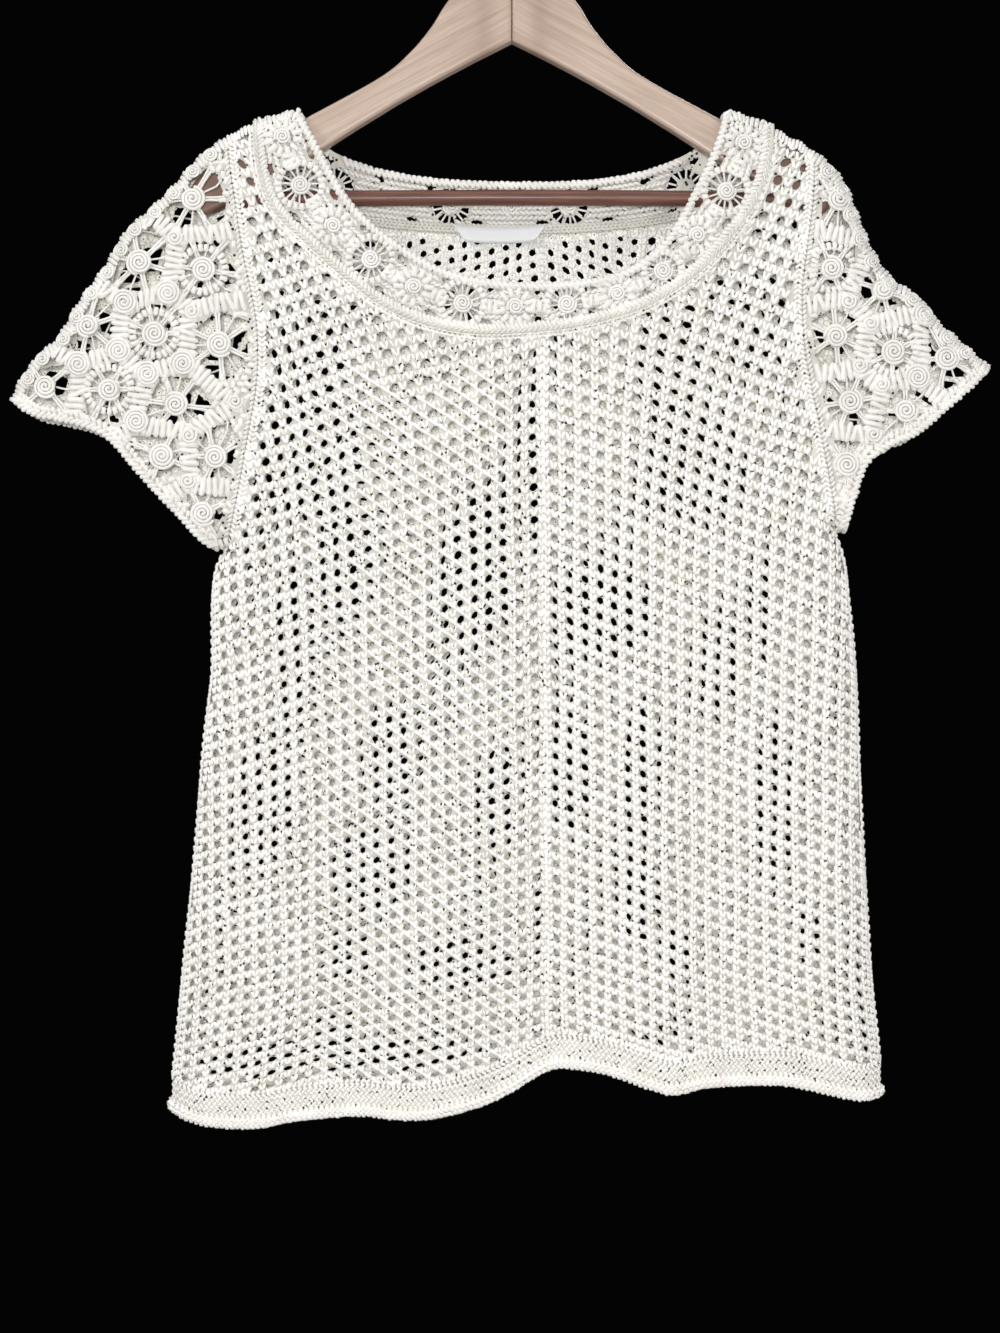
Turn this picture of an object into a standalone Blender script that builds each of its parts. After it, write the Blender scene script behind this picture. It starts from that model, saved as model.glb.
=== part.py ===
"""Short-sleeved crochet top hung on a wooden hanger.

Metres, +Z up. The front of the top faces -Y and the origin is the inside top of
the hanger's hook. All lengths below are in millimetres and are turned into
metres where a mesh is made. A point of the flat front view is (x, z); the cloth
surface stands a half depth in front of that plane, or behind it at the back.
"""
import math

import bmesh
import bpy
import numpy as np
from mathutils import Vector
from mathutils.geometry import delaunay_2d_cdt

MM = 0.001
GAP = 0.3              # left between neighbouring pieces at a seam

# Cloth
WALL = 2.0             # knitted or crocheted wall
FOLD_WIDTH = 21.0      # how far from a folded edge the cloth reaches its full depth
PANEL_SPACING = 27.0   # grid of points on the plain net panels
LACE_SPACING = 16.0    # points along the edges of the lace pieces
SEAM_STEP = 14.0       # points along a seam, the same on both of its pieces
FOLD_ROWS = (4.5, 11.0)  # rows of points beside a folded edge
SIDE_STEP = 22.0       # points down a side seam
SHOULDER_STEP = 10.0   # points along a shoulder fold
HEM_DEPTH = 20.0       # plain strip and roll together
HEM_ROLL = 3.4         # radius of the rolled edge
HEM_CLOSE = (0.0, 1.2, 4.0, 9.0, 15.0)  # close columns of the hem at the side seams
HEM_COLUMNS = 30       # even columns of the hem between them
PANEL_COLUMNS = 27     # even columns of a panel along the hem's seam
EVEN_FROM = 24.0       # where the even columns start, in from the side seams
PIPING_RADIUS = 1.5    # cord on the seam between neckband and net
PIPING_STEP = 13.0     # points along it, and closer ones where it turns over a shoulder
PIPING_CLOSE = (0.0, 1.5, 3.5, 6.0, 9.0, 12.0, 16.0, 21.0, 27.0)
LABEL_SIZE = (64.0, 11.0, 1.0)
LABEL_PLACE = (-8.0, -245.0)

# Lace
BAND_HALF = 4.5        # half the width of a ribbed band between two motifs
EDGE_HALF = 6.0        # plain crochet left along the edge of a lace piece
HUB_RADIUS = 7.5       # solid middle of a motif
HUB_MARGIN = 0.6       # level ring between the hub's relief and its gaps
BAR_HALF = 1.7         # half the width of the bars from a hub to its bands
HUB_RISE = 2.6         # relief over the wall
BAND_RISE = 1.9
CUFF_RISE = 1.6
MIN_GAP = 4.0          # a shorter gap in the lace stays closed
MAX_GAP = 16.0         # outward from the hub
LONGEST_REACH = 34.0   # from the middle of a motif
BANDED_APART = 75.0    # motifs further apart than this share no band
BAND_SPOTS = (-16, -8, 0, 8, 16)  # raised points along a band

# Hanger
ARM_HALF = 6.5         # half the thickness of the wooden arms
ARM_ROUND = 3.2        # rounding of their long edges
BAR_RADIUS = 5.2
BAR_HEIGHT = -224.0
BAR_REACH = 204.0
BAR_FIT = 0.35         # clearance of the bar and the hook in the wood
HOOK_WIRE = 2.0
HOOK_LOOP = 21.0       # radius of the loop, to the middle of the wire
SHANK_FOOT = -104.0

# Outline of the front view. Columns: x, z.
SHOULDER_LEFT = [(-140, -166.5), (-151, -166), (-164, -171), (-182, -178), (-189, -182),
                 (-209, -197), (-225, -215), (-241, -231), (-257, -246), (-271, -269),
                 (-288, -292), (-302, -316), (-315, -328), (-328, -346), (-333, -357)]
SHOULDER_RIGHT = [(141, -167), (152, -167), (164, -172), (180, -180), (201, -192),
                  (220, -211), (230, -234), (240, -258), (253, -277), (269, -288),
                  (282, -304), (299, -319), (317, -335)]
CUFF_LEFT = [(-333, -357), (-317, -369), (-298, -373), (-277, -379), (-265, -387),
             (-251, -403), (-237, -419), (-216, -441), (-206, -452), (-196, -458)]
CUFF_RIGHT = [(317, -335), (309, -346), (290, -363), (269, -381), (252, -389),
              (238, -398), (232, -408), (226, -427), (221, -446)]
ARMHOLE_LEFT = [(-189, -182), (-187, -201), (-183, -228), (-178, -261), (-170, -300),
                (-168, -324), (-169, -350), (-173, -374), (-177, -397), (-181, -420),
                (-185, -439), (-189, -455)]
ARMHOLE_RIGHT = [(201, -192), (199, -228), (196, -253), (192, -286), (193, -320),
                 (198, -350), (203, -374), (208, -401), (212, -424), (215, -444)]
SIDE_LEFT = [(-189, -455), (-197, -468), (-200, -492), (-200, -535), (-203, -562),
             (-207, -600), (-212, -663), (-220, -742), (-224, -785), (-227, -815),
             (-227, -845)]
SIDE_RIGHT = [(215, -444), (222, -465), (225, -492), (228, -520), (230, -550),
              (232, -603), (235, -663), (240, -742), (245, -790), (247, -815),
              (247, -845)]
HEM_LINE = [(-235, -828), (-226, -829), (-205, -836), (-180, -838), (-161, -837),
            (-145, -834), (-102, -831), (-78, -833), (-55, -832), (-22, -824),
            (-1, -815), (22, -802), (38, -800), (65, -804), (90, -812), (106, -816),
            (128, -812), (155, -811), (181, -811), (202, -815), (226, -820),
            (240, -820), (256, -815)]
NECK_FRONT_INNER = [(-140, -166.5), (-127, -192), (-110, -222), (-92, -242), (-66, -261),
                    (-40, -274), (-10, -280), (28, -281), (62, -277), (85, -267),
                    (103, -250), (118, -224), (132, -195), (141, -167)]
NECK_FRONT_OUTER = [(-170, -173.5), (-168, -200), (-162, -224), (-151, -240), (-136, -254),
                    (-114, -274), (-88, -294), (-57, -308), (-24, -314), (12, -313),
                    (50, -308), (84, -298), (108, -285), (129, -268), (147, -247),
                    (161, -226), (169, -202), (172, -176)]
NECK_BACK_INNER = [(-140, -166.5), (-131, -179), (-121, -188), (-103, -196), (-81, -202),
                   (-48, -207), (0, -209), (48, -208), (83, -203), (105, -196),
                   (123, -187), (133, -178), (141, -167)]
NECK_BACK_OUTER = [(-170, -173.5), (-164, -202), (-149, -222), (-120, -234), (-84, -240),
                   (-44, -243), (0, -244), (45, -243), (88, -239), (122, -232),
                   (151, -220), (167, -201), (172, -176)]

# Half depth of the hollow top. Columns: z, half depth, size of the hanging folds.
DEPTHS = [(-160, 14.5, 0.0), (-240, 14.5, 0.0), (-340, 15.0, 0.8), (-460, 16.5, 1.8),
          (-600, 18.0, 3.0), (-720, 19.5, 4.2), (-840, 21.0, 5.0)]
# Hanging folds. Columns: middle x at the hem, lean, half width, share of the size.
FOLDS_FRONT = [(-175, 0.10, 26, 0.8), (-105, 0.07, 30, -0.7), (-38, 0.03, 27, 0.9),
               (30, -0.02, 25, -1.0), (101, -0.05, 24, 1.0), (165, -0.09, 30, -0.6)]
FOLDS_BACK = [(-150, 0.08, 30, -0.8), (-80, 0.05, 26, 0.9), (0, 0.00, 30, -0.8),
              (74, -0.05, 28, 1.0), (148, -0.08, 30, -0.7)]

# Middles of the lace motifs on the sleeves. Columns: x, z, bars.
MOTIFS_LEFT = [(-211, -226, 6), (-204, -273, 6), (-246, -268, 6), (-193, -322, 6),
               (-236, -315, 7), (-280, -310, 6), (-308, -350, 4), (-266, -352, 6),
               (-222, -362, 6), (-196, -397, 5), (-231, -396, 4), (-204, -434, 4)]
MOTIFS_RIGHT = [(216, -226, 6), (211, -272, 6), (245, -286, 6), (214, -317, 6),
                (252, -327, 6), (287, -331, 5), (223, -360, 6), (260, -366, 4),
                (221, -402, 5)]
BACK_SHIFT = (4.0, -9.0)   # the back of a sleeve carries its motifs this far off
# Motifs round the neckband, counted along it
NECK_FRONT_MOTIFS = 13
NECK_BACK_MOTIFS = 9
WHEEL_SLOTS = 5
WHEEL_HUB = 6.0
WHEEL_RIM = 12.6
RIM_WIDTH = 3.6            # least crochet left outside a wheel
SIDE_GAP = (4.6, 2.4)      # half sizes of the gaps beside the wheels
SIDE_GAP_PLACE = 7.0       # their middles, from the edge of the neckband

# Left arm of the hanger, seen from the front. Columns: x, z.
ARM_OUTLINE = [(0, -79), (-20, -80), (-36, -86), (-45, -96), (-53, -109), (-67, -126),
               (-88, -143.5), (-138, -171), (-201, -205), (-209, -210.5), (-213.5, -218),
               (-212, -228), (-205, -235), (-173, -219), (-129, -193), (-87, -166),
               (-40, -139), (0, -119)]


# ---------------------------------------------------------------- flat geometry
def smooth(points, step):
    """A smooth curve through the points, resampled about every step mm."""
    p = np.array(points, float)
    p = np.vstack([2 * p[0] - p[1], p, 2 * p[-1] - p[-2]])
    fine = []
    for a, b, c, d in zip(p[:-3], p[1:-2], p[2:-1], p[3:]):
        for t in np.linspace(0, 1, 12, endpoint=False):
            fine.append(0.5 * (2 * b + (c - a) * t + (2 * a - 5 * b + 4 * c - d) * t ** 2
                               + (3 * b - a - 3 * c + d) * t ** 3))
    return spaced(np.array(fine + [p[-2]]), step)


def seam(points):
    """A smooth seam between two folded edges, with close points at both ends."""
    fine = smooth(points, 0.5)
    along = np.concatenate([[0], np.cumsum(np.linalg.norm(np.diff(fine, axis=0), axis=1))])
    ends = np.array([0.0, *FOLD_ROWS])
    reach_in = ends[-1] + SEAM_STEP * 0.8
    count = max(2, round((along[-1] - 2 * reach_in) / SEAM_STEP) + 1)
    at = np.concatenate([ends, np.linspace(reach_in, along[-1] - reach_in, count),
                         along[-1] - ends[::-1]])
    return np.stack([np.interp(at, along, fine[:, k]) for k in range(2)], axis=1)


def spaced(line, step):
    along = np.concatenate([[0], np.cumsum(np.linalg.norm(np.diff(line, axis=0), axis=1))])
    at = np.linspace(0, along[-1], max(1, round(along[-1] / step)) + 1)
    return np.stack([np.interp(at, along, line[:, k]) for k in range(line.shape[1])], axis=1)


def nearest(points, line):
    """Distance to a polyline and the direction away from it, for each point."""
    best = np.full(len(points), np.inf)
    away = np.zeros_like(points)
    for a, b in zip(line[:-1], line[1:]):
        d = b - a
        t = np.clip(((points - a) @ d) / max(d @ d, 1e-9), 0, 1)
        off = points - a - t[:, None] * d
        far = np.linalg.norm(off, axis=1)
        near = far < best
        best[near], away[near] = far[near], off[near]
    return best, away / np.maximum(best, 1e-9)[:, None]


def inside(points, loops):
    """Whether each point is inside the first loop and outside the others."""
    odd = np.zeros(len(points), bool)
    for loop in loops:
        for (x1, z1), (x2, z2) in zip(loop, np.roll(loop, -1, axis=0)):
            crosses = (z1 > points[:, 1]) != (z2 > points[:, 1])
            at = x1 + (points[:, 1] - z1) * (x2 - x1) / (z2 - z1 if z2 != z1 else 1e-9)
            odd ^= crosses & (points[:, 0] < at)
    return odd


def turning(loop):
    """Positive for a loop that runs counter-clockwise."""
    x, z = np.array(loop).T
    return float(np.sum(x * np.roll(z, -1) - z * np.roll(x, -1)))


def loop_of(*lines):
    """One closed counter-clockwise outline from lines that meet end to end."""
    loop = np.vstack([line[:-1] for line in lines])
    return loop if turning(loop) > 0 else loop[::-1]


def inset(loop, by):
    ahead, behind = np.roll(loop, -1, axis=0) - loop, loop - np.roll(loop, 1, axis=0)
    normals = []
    for e in (ahead, behind):
        e = e / np.linalg.norm(e, axis=1)[:, None]
        normals.append(np.stack([-e[:, 1], e[:, 0]], axis=1))
    n = normals[0] + normals[1]
    n /= np.maximum((n * normals[0]).sum(1), 0.35)[:, None]
    return loop + by * n


# ---------------------------------------------------------------- cloth surface
FOLD_LINES = [smooth(SHOULDER_LEFT, 1.5), smooth(SHOULDER_RIGHT, 1.5),
              smooth(SIDE_LEFT, 1.5), smooth(SIDE_RIGHT, 1.5),
              np.array([CUFF_LEFT[-1], ARMHOLE_LEFT[-1]], float),
              np.array([CUFF_RIGHT[-1], ARMHOLE_RIGHT[-1]], float)]


def from_fold(points):
    """Distance from the folded edges of the top, and the direction into the cloth."""
    best, away = nearest(points, FOLD_LINES[0])
    for line in FOLD_LINES[1:]:
        far, off = nearest(points, line)
        near = far < best
        best[near], away[near] = far[near], off[near]
    return best, away


def full_depth(points, folds):
    z, depth, size = np.array(DEPTHS[::-1], float).T
    deep = np.interp(points[:, 1], z, depth)
    wave = np.interp(points[:, 1], z, size)
    for middle, lean, half, share in folds:
        x = middle + lean * (points[:, 1] - z[0])
        deep = deep + wave * share * np.exp(-((points[:, 0] - x) / half) ** 2)
    return deep


def surface(points, side, fold_edge=1.0):
    """Outer points (x, y, z) of the cloth and their outward normals.

    side is -1 for the front and +1 for the back. Points nearer than fold_edge to
    a folded edge lie on it, half a gap from the other side's.
    """
    folds = FOLDS_FRONT if side < 0 else FOLDS_BACK
    far, into = from_fold(points)
    t = np.clip(far / FOLD_WIDTH, 0.0, 1.0)
    deep = full_depth(points, folds)
    shape = np.sqrt(1 - (1 - t) ** 2)
    half = deep * shape
    steep = deep * (1 - t) / np.maximum(shape, 0.02) / FOLD_WIDTH
    step = 2.0
    waves = [(full_depth(points + e, folds) - deep) / step * shape
             for e in np.array([(step, 0), (0, step)])]
    slope = steep[:, None] * into + np.stack(waves, axis=1)
    normal = np.stack([-slope[:, 0], np.full(len(points), float(side)), -slope[:, 1]], axis=1)
    at_fold = far < fold_edge
    normal[at_fold, 1] = 0
    normal[at_fold, 0], normal[at_fold, 2] = -slope[at_fold, 0], -slope[at_fold, 1]
    normal /= np.linalg.norm(normal, axis=1)[:, None]
    place = np.stack([points[:, 0], side * half, points[:, 1]], axis=1)
    place[at_fold, 1] = side * GAP / 2
    return place, normal


def triangles_of(loops, points):
    """Triangles of the region inside the first loop, less the other loops."""
    verts = np.vstack(loops + ([points] if len(points) else []))
    edges, start = [], 0
    for loop in loops:
        n = len(loop)
        edges += [(start + i, start + (i + 1) % n) for i in range(n)]
        start += n
    out = delaunay_2d_cdt([Vector(p) for p in verts], edges, [], 0, 1e-5)
    flat = np.array([tuple(v) for v in out[0]])
    tris = np.array([tuple(f) for f in out[2]])
    tris = tris[inside(flat[tris].mean(axis=1), loops)]
    used, tris = np.unique(tris, return_inverse=True)
    return flat[used], tris.reshape(-1, 3)


def wall(name, loops, side, points=(), rises=None, top=0.0, thick=WALL):
    """A closed cloth solid over the region of the loops.

    top is where its outer face lies over the cloth surface, thick its wall and
    rises(points) the relief of the outer face.
    """
    flat, tris = triangles_of(loops, np.array(points, float).reshape(-1, 2))
    place, normal = surface(flat, side)
    lift = np.full(len(flat), top)
    if rises is not None:
        lift = lift + rises(flat)
    outer = place + lift[:, None] * normal
    inner = place + (top - thick) * normal
    verts = np.vstack([outer, inner])
    n = len(flat)
    a, b, c = (flat[tris[:, k]] for k in range(3))
    area = (b[:, 0] - a[:, 0]) * (c[:, 1] - a[:, 1]) - (b[:, 1] - a[:, 1]) * (c[:, 0] - a[:, 0])
    tris = np.where((area * side > 0)[:, None], tris[:, ::-1], tris)
    faces = [tuple(t) for t in tris] + [tuple(n + t[::-1]) for t in tris]
    ways = {(t[i], t[(i + 1) % 3]) for t in tris.tolist() for i in range(3)}
    faces += [(j, i, n + i, n + j) for i, j in sorted(ways) if (j, i) not in ways]
    return mesh_object(name, verts, faces)


def mesh_object(name, verts, faces):
    """verts are in millimetres."""
    mesh = bpy.data.meshes.new(name)
    mesh.from_pydata((np.asarray(verts) * MM).tolist(), [], faces)
    mesh.update()
    obj = bpy.data.objects.new(name, mesh)
    TOP.objects.link(obj)
    return obj


# ---------------------------------------------------------------- the cloth pieces
def grid_points(loop, spacing, clear):
    """A staggered grid inside the loop, clear of its edge, and rows by the folds."""
    low, high = loop.min(axis=0), loop.max(axis=0)
    grid = []
    for row, z in enumerate(np.arange(low[1] + clear, high[1], spacing * 0.87)):
        for x in np.arange(low[0] + spacing * 0.5 * (row % 2), high[0], spacing):
            grid.append((x, z))
    grid = np.array(grid)
    grid = grid[inside(grid, [loop])]
    edge = np.vstack([loop, loop[:1]])
    grid = grid[nearest(grid, edge)[0] > clear]
    rows = fold_rows(loop, FOLD_ROWS)
    grid = grid[np.array([np.linalg.norm(rows - p, axis=1).min() > clear for p in grid])]
    return np.vstack([grid, rows])


def fold_rows(loop, depths):
    """Points beside the folded edges, where the cloth turns to the other side."""
    far, into = from_fold(loop)
    at = far < 1.0
    edge = np.vstack([loop, loop[:1]])
    rows = []
    for deep in depths:
        row = loop[at] + deep * into[at]
        rows.append(row[inside(row, [loop]) & (nearest(row, edge)[0] > 0.7 * deep)])
    return np.vstack(rows)


def cut_line(line, low, high):
    """The stretch of a line that starts and ends nearest to two points."""
    i = int(np.linalg.norm(line - low, axis=1).argmin())
    j = int(np.linalg.norm(line - high, axis=1).argmin())
    part = line[min(i, j):max(i, j) + 1].copy()
    if i > j:
        part = part[::-1]
    part[0], part[-1] = low, high
    return part


def hem_top(x):
    line = smooth(HEM_LINE, 4)
    return np.interp(x, line[:, 0], line[:, 1]) + HEM_DEPTH


def side_to_hem(side_line):
    """The side seam from the armpit down to the seam of the hem."""
    line = smooth(side_line, 1)
    above = line[line[:, 1] > hem_top(line[:, 0])]
    foot = above[-1]
    foot = np.array([foot[0], hem_top(foot[0])])
    return np.vstack([spaced(above[:-1], SIDE_STEP), foot])


def panel(name, side, neck):
    left, right = side_to_hem(SIDE_LEFT), side_to_hem(SIDE_RIGHT)
    ends = np.array([0.0, *FOLD_ROWS])
    even = np.linspace(left[-1, 0] + EVEN_FROM, right[-1, 0] - EVEN_FROM, PANEL_COLUMNS)
    x = np.concatenate([left[-1, 0] + ends, even, right[-1, 0] - ends[::-1]])
    hem = np.stack([x, hem_top(x)], axis=1)
    neck = seam(neck)
    shoulders = [cut_line(smooth(line, 1), neck_end, armhole)
                 for line, neck_end, armhole in
                 ((SHOULDER_LEFT, neck[0], ARMHOLE_LEFT[0]),
                  (SHOULDER_RIGHT, neck[-1], ARMHOLE_RIGHT[0]))]
    shoulders = [spaced(line, SHOULDER_STEP) for line in shoulders]
    loop = loop_of(left, hem, right[::-1], seam(ARMHOLE_RIGHT)[::-1],
                   shoulders[1][::-1], neck[::-1], shoulders[0], seam(ARMHOLE_LEFT))
    loop = inset(loop, GAP / 2)
    return wall(name, [loop], side, grid_points(loop, PANEL_SPACING, 9.0))


def hem(name, side):
    """The plain strip and the roll below it, swept along the lower edge."""
    left, right = side_to_hem(SIDE_LEFT)[-1], side_to_hem(SIDE_RIGHT)[-1]
    near = np.array(HEM_CLOSE)
    even = np.linspace(left[0] + EVEN_FROM, right[0] - EVEN_FROM, HEM_COLUMNS)
    x = np.concatenate([left[0] + near, even, (right[0] - near)[::-1]])
    foot = hem_top(x) - HEM_DEPTH
    r = HEM_ROLL
    roll = [(r * math.cos(a) - WALL / 2, r + r * math.sin(a))
            for a in np.radians([60, 0, -60, -120, -180, -240])]
    profile = [(0.0, HEM_DEPTH - 2 * GAP)] + roll + [(-WALL, HEM_DEPTH - 2 * GAP)]
    rings = []
    place, normal = surface(np.stack([x, foot + HEM_DEPTH], axis=1), side)
    normal[:, 2] = 0
    normal /= np.linalg.norm(normal, axis=1)[:, None]
    for out, up in profile:
        ring = place + out * normal
        ring[:, 2] = foot + up
        ring[[0, -1], 1] = side * GAP / 2
        rings.append(ring)
    count, n = len(x), len(profile)
    verts = np.stack(rings, axis=1).reshape(-1, 3)
    faces = [(i * n + k, i * n + (k + 1) % n, (i + 1) * n + (k + 1) % n, (i + 1) * n + k)
             for i in range(count - 1) for k in range(n)]
    faces += [tuple(range(n))[::-1], tuple((count - 1) * n + k for k in range(n))]
    if side > 0:
        faces = [f[::-1] for f in faces]
    return mesh_object(name, verts, faces)


# ---------------------------------------------------------------- lace
def reach(c, others, edge, angle):
    """How far a gap may reach from a motif's middle in a direction.

    It stops half a band short of the line midway to each other motif, and at the
    plain edge of the piece.
    """
    d = np.array([math.cos(angle), math.sin(angle)])
    best = LONGEST_REACH
    for other in others:
        apart = np.linalg.norm(other - c)
        towards = float(d @ (other - c)) / apart
        if towards > 0.1:
            best = min(best, (apart / 2 - BAND_HALF) / towards)
    for p, q in zip(edge, np.roll(edge, -1, axis=0)):
        e = q - p
        cross = d[0] * e[1] - d[1] * e[0]
        if abs(cross) > 1e-9:
            far = ((p - c)[0] * e[1] - (p - c)[1] * e[0]) / cross
            share = ((p - c)[0] * d[1] - (p - c)[1] * d[0]) / cross
            if far > 0 and 0 <= share <= 1:
                best = min(best, far)
    return best


def gaps_round(c, others, edge, bars, turn):
    """The gaps between the bars that run from a motif's hub to its bands."""
    gaps = []
    inner = HUB_RADIUS + HUB_MARGIN
    for k in range(bars):
        a, b = (turn + 2 * math.pi * (k + s) / bars for s in (0, 1))
        spread = (b - a) * 0.5
        far = [reach(c, others, edge, a + spread * s) for s in (0.3, 1.0, 1.7)]
        if min(far[1], (far[0] + far[2]) / 2) - inner < MIN_GAP:
            continue
        near = BAR_HALF / inner
        corners = [(a + near, inner), (b - near, inner)]
        outer = [(1.7, far[2]), (1.0, far[1]), (0.3, far[0])]
        if far[1] < 1.15 * max(far[0], far[2]):
            del outer[1]
        for share, length in outer:
            length = min(max(length, inner + MIN_GAP / 3), inner + MAX_GAP)
            corners.append((a + spread * share, length))
        gaps.append(np.array([c + r * np.array([math.cos(t), math.sin(t)])
                              for t, r in corners]))
    return gaps


def band_points(loop, places, gaps):
    """Raised points along the middle of the bands that part two motifs."""
    found = []
    for i, c in enumerate(places):
        for j, other in enumerate(places[:i]):
            if np.linalg.norm(other - c) > BANDED_APART:
                continue
            along = np.array([c[1] - other[1], other[0] - c[0]])
            along /= np.linalg.norm(along)
            for off in BAND_SPOTS:
                p = (c + other) / 2 + off * along
                ranked = np.sort(np.linalg.norm(places - p, axis=1))
                if len(ranked) < 3 or ranked[2] > ranked[0] + 1.0:
                    if np.linalg.norm(p - c) < ranked[0] + 0.5:
                        found.append(p)
    if not found:
        return np.zeros((0, 2))
    found = np.array(found)
    found = found[inside(found, [loop] + gaps)]
    edges = [np.vstack([g, g[:1]]) for g in [loop] + gaps]
    clear = np.min([nearest(found, e)[0] for e in edges], axis=0)
    return found[clear > 2.2]


def lace_wall(name, side, loop, motifs, turns, cuff):
    loop = inset(loop, GAP / 2)
    edge = inset(spaced(np.vstack([loop, loop[:1]]), 6)[:-1], EDGE_HALF)
    places = np.array([m[:2] for m in motifs], float)
    gaps = []
    for i, (motif, turn) in enumerate(zip(motifs, turns)):
        gaps += gaps_round(places[i], np.delete(places, i, axis=0), edge, motif[2], turn)
    bands = band_points(loop, places, gaps)
    rows = clear_of(fold_rows(loop, FOLD_ROWS[:1]), gaps, 1.5)

    def rises(flat):
        lift = np.zeros(len(flat))
        for spots, rise in ((places, HUB_RISE), (bands, BAND_RISE)):
            for p in spots:
                lift[np.linalg.norm(flat - p, axis=1) < 0.3] = rise
        at_edge = (nearest(flat, cuff)[0] < 1.0) & (from_fold(flat)[0] > 1.0)
        lift[at_edge] = CUFF_RISE
        return lift

    return wall(name, [loop] + gaps, side, np.vstack([places, bands, rows]), rises)


def clear_of(points, gaps, clear):
    if not len(points) or not gaps:
        return points.reshape(-1, 2)
    keep = np.ones(len(points), bool)
    for gap in gaps:
        keep &= ~inside(points, [gap])
        keep &= nearest(points, np.vstack([gap, gap[:1]]))[0] > clear
    return points[keep]


def sleeve(name, side, shoulder, cuff, armhole, motifs):
    top = cut_line(smooth(shoulder, 1), armhole[0], shoulder[-1])
    under = np.array([cuff[-1], armhole[-1]], float)
    hem_edge = seam(cuff)
    loop = loop_of(spaced(top, LACE_SPACING), hem_edge, under, seam(armhole)[::-1])
    if side > 0:
        outward = 1 if armhole[0][0] > 0 else -1
        motifs = [(x - outward * BACK_SHIFT[0], z + BACK_SHIFT[1], n) for x, z, n in motifs]
    turns = [0.9 * i + (0.4 if side > 0 else 0.0) for i in range(len(motifs))]
    return lace_wall(name, side, loop, motifs, turns, hem_edge)


def band_motif(inner, outer, at):
    """Middle, half width and the direction along the neckband at a share of it."""
    ends = []
    for line in (inner, outer):
        fine = smooth(line, 2)
        ends.append(fine[min(int(at * (len(fine) - 1)), len(fine) - 1)])
    across = ends[1] - ends[0]
    half = np.linalg.norm(across) / 2
    across /= 2 * half
    return (ends[0] + ends[1]) / 2, half, across


def wheel_slot(middle, a, b, rim):
    """The gap between two spokes of a wheel, which stand at the angles a and b."""
    near, far = BAR_HALF / WHEEL_HUB, BAR_HALF / rim
    corners = [(a + near, WHEEL_HUB + 1), (b - near, WHEEL_HUB + 1), (b - far, rim),
               ((a + b) / 2, rim + 0.8), (a + far, rim)]
    return np.array([middle + r * np.array([math.cos(t), math.sin(t)]) for t, r in corners])


def neckband(name, side, inner, outer, motifs):
    """Wheels and rosettes by turns, with a gap on each side where two meet."""
    inner_line, outer_line = seam(inner), seam(outer)
    shoulders = [spaced(cut_line(smooth(line, 1), i, o), SHOULDER_STEP)
                 for line, i, o in ((SHOULDER_LEFT, inner_line[0], outer_line[0]),
                                    (SHOULDER_RIGHT, inner_line[-1], outer_line[-1]))]
    loop = loop_of(inner_line, shoulders[1], outer_line[::-1], shoulders[0][::-1])
    loop = inset(loop, GAP / 2)
    gaps, hubs = [], []
    for k in range(motifs):
        middle, half, across = band_motif(inner, outer, (k + 0.5) / motifs)
        hubs.append(middle)
        base = math.atan2(across[1], across[0])
        if k % 2:
            rim = min(WHEEL_RIM, half - RIM_WIDTH)
            for s in range(WHEEL_SLOTS):
                a, b = (base + 2 * math.pi * (s + t) / WHEEL_SLOTS for t in (0.5, 1.5))
                gaps.append(wheel_slot(middle, a, b, rim))
        if k:
            between, half, across = band_motif(inner, outer, k / motifs)
            along = np.array([-across[1], across[0]])
            for sign in (-1, 1):
                spot = between + sign * (half - SIDE_GAP_PLACE) * across
                wide, high = SIDE_GAP
                gaps.append(np.array([spot + wide * math.cos(t) * along
                                      + high * math.sin(t) * across
                                      for t in np.linspace(0, 2 * math.pi, 5)[:-1]]))
    hubs = np.array(hubs)
    rows = clear_of(fold_rows(loop, FOLD_ROWS[:1]), gaps, 1.5)

    def rises(flat):
        lift = np.zeros(len(flat))
        for p in hubs:
            lift[np.linalg.norm(flat - p, axis=1) < 0.3] = HUB_RISE
        return lift

    return wall(name, [loop] + gaps, side, np.vstack([hubs, rows]), rises)


def label():
    wide, high, thick = LABEL_SIZE
    x, z = LABEL_PLACE
    xs = np.linspace(x - wide / 2, x + wide / 2, 7)
    loop = np.vstack([np.stack([xs, np.full(7, z - high / 2)], axis=1),
                      np.stack([xs[::-1], np.full(7, z + high / 2)], axis=1)])
    return wall("neck_label", [loop], 1, top=-(WALL + GAP), thick=thick)


def tube(name, points, radius, resolution):
    """A closed tube along points that are given in millimetres."""
    curve = bpy.data.curves.new(name, "CURVE")
    curve.dimensions = "3D"
    curve.bevel_depth = radius * MM
    curve.bevel_resolution = resolution
    curve.use_fill_caps = True
    spline = curve.splines.new("POLY")
    spline.points.add(len(points) - 1)
    for at, p in zip(spline.points, points):
        at.co = (*(np.array(p) * MM), 1)
    obj = bpy.data.objects.new(name, curve)
    TOP.objects.link(obj)
    return obj


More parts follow.
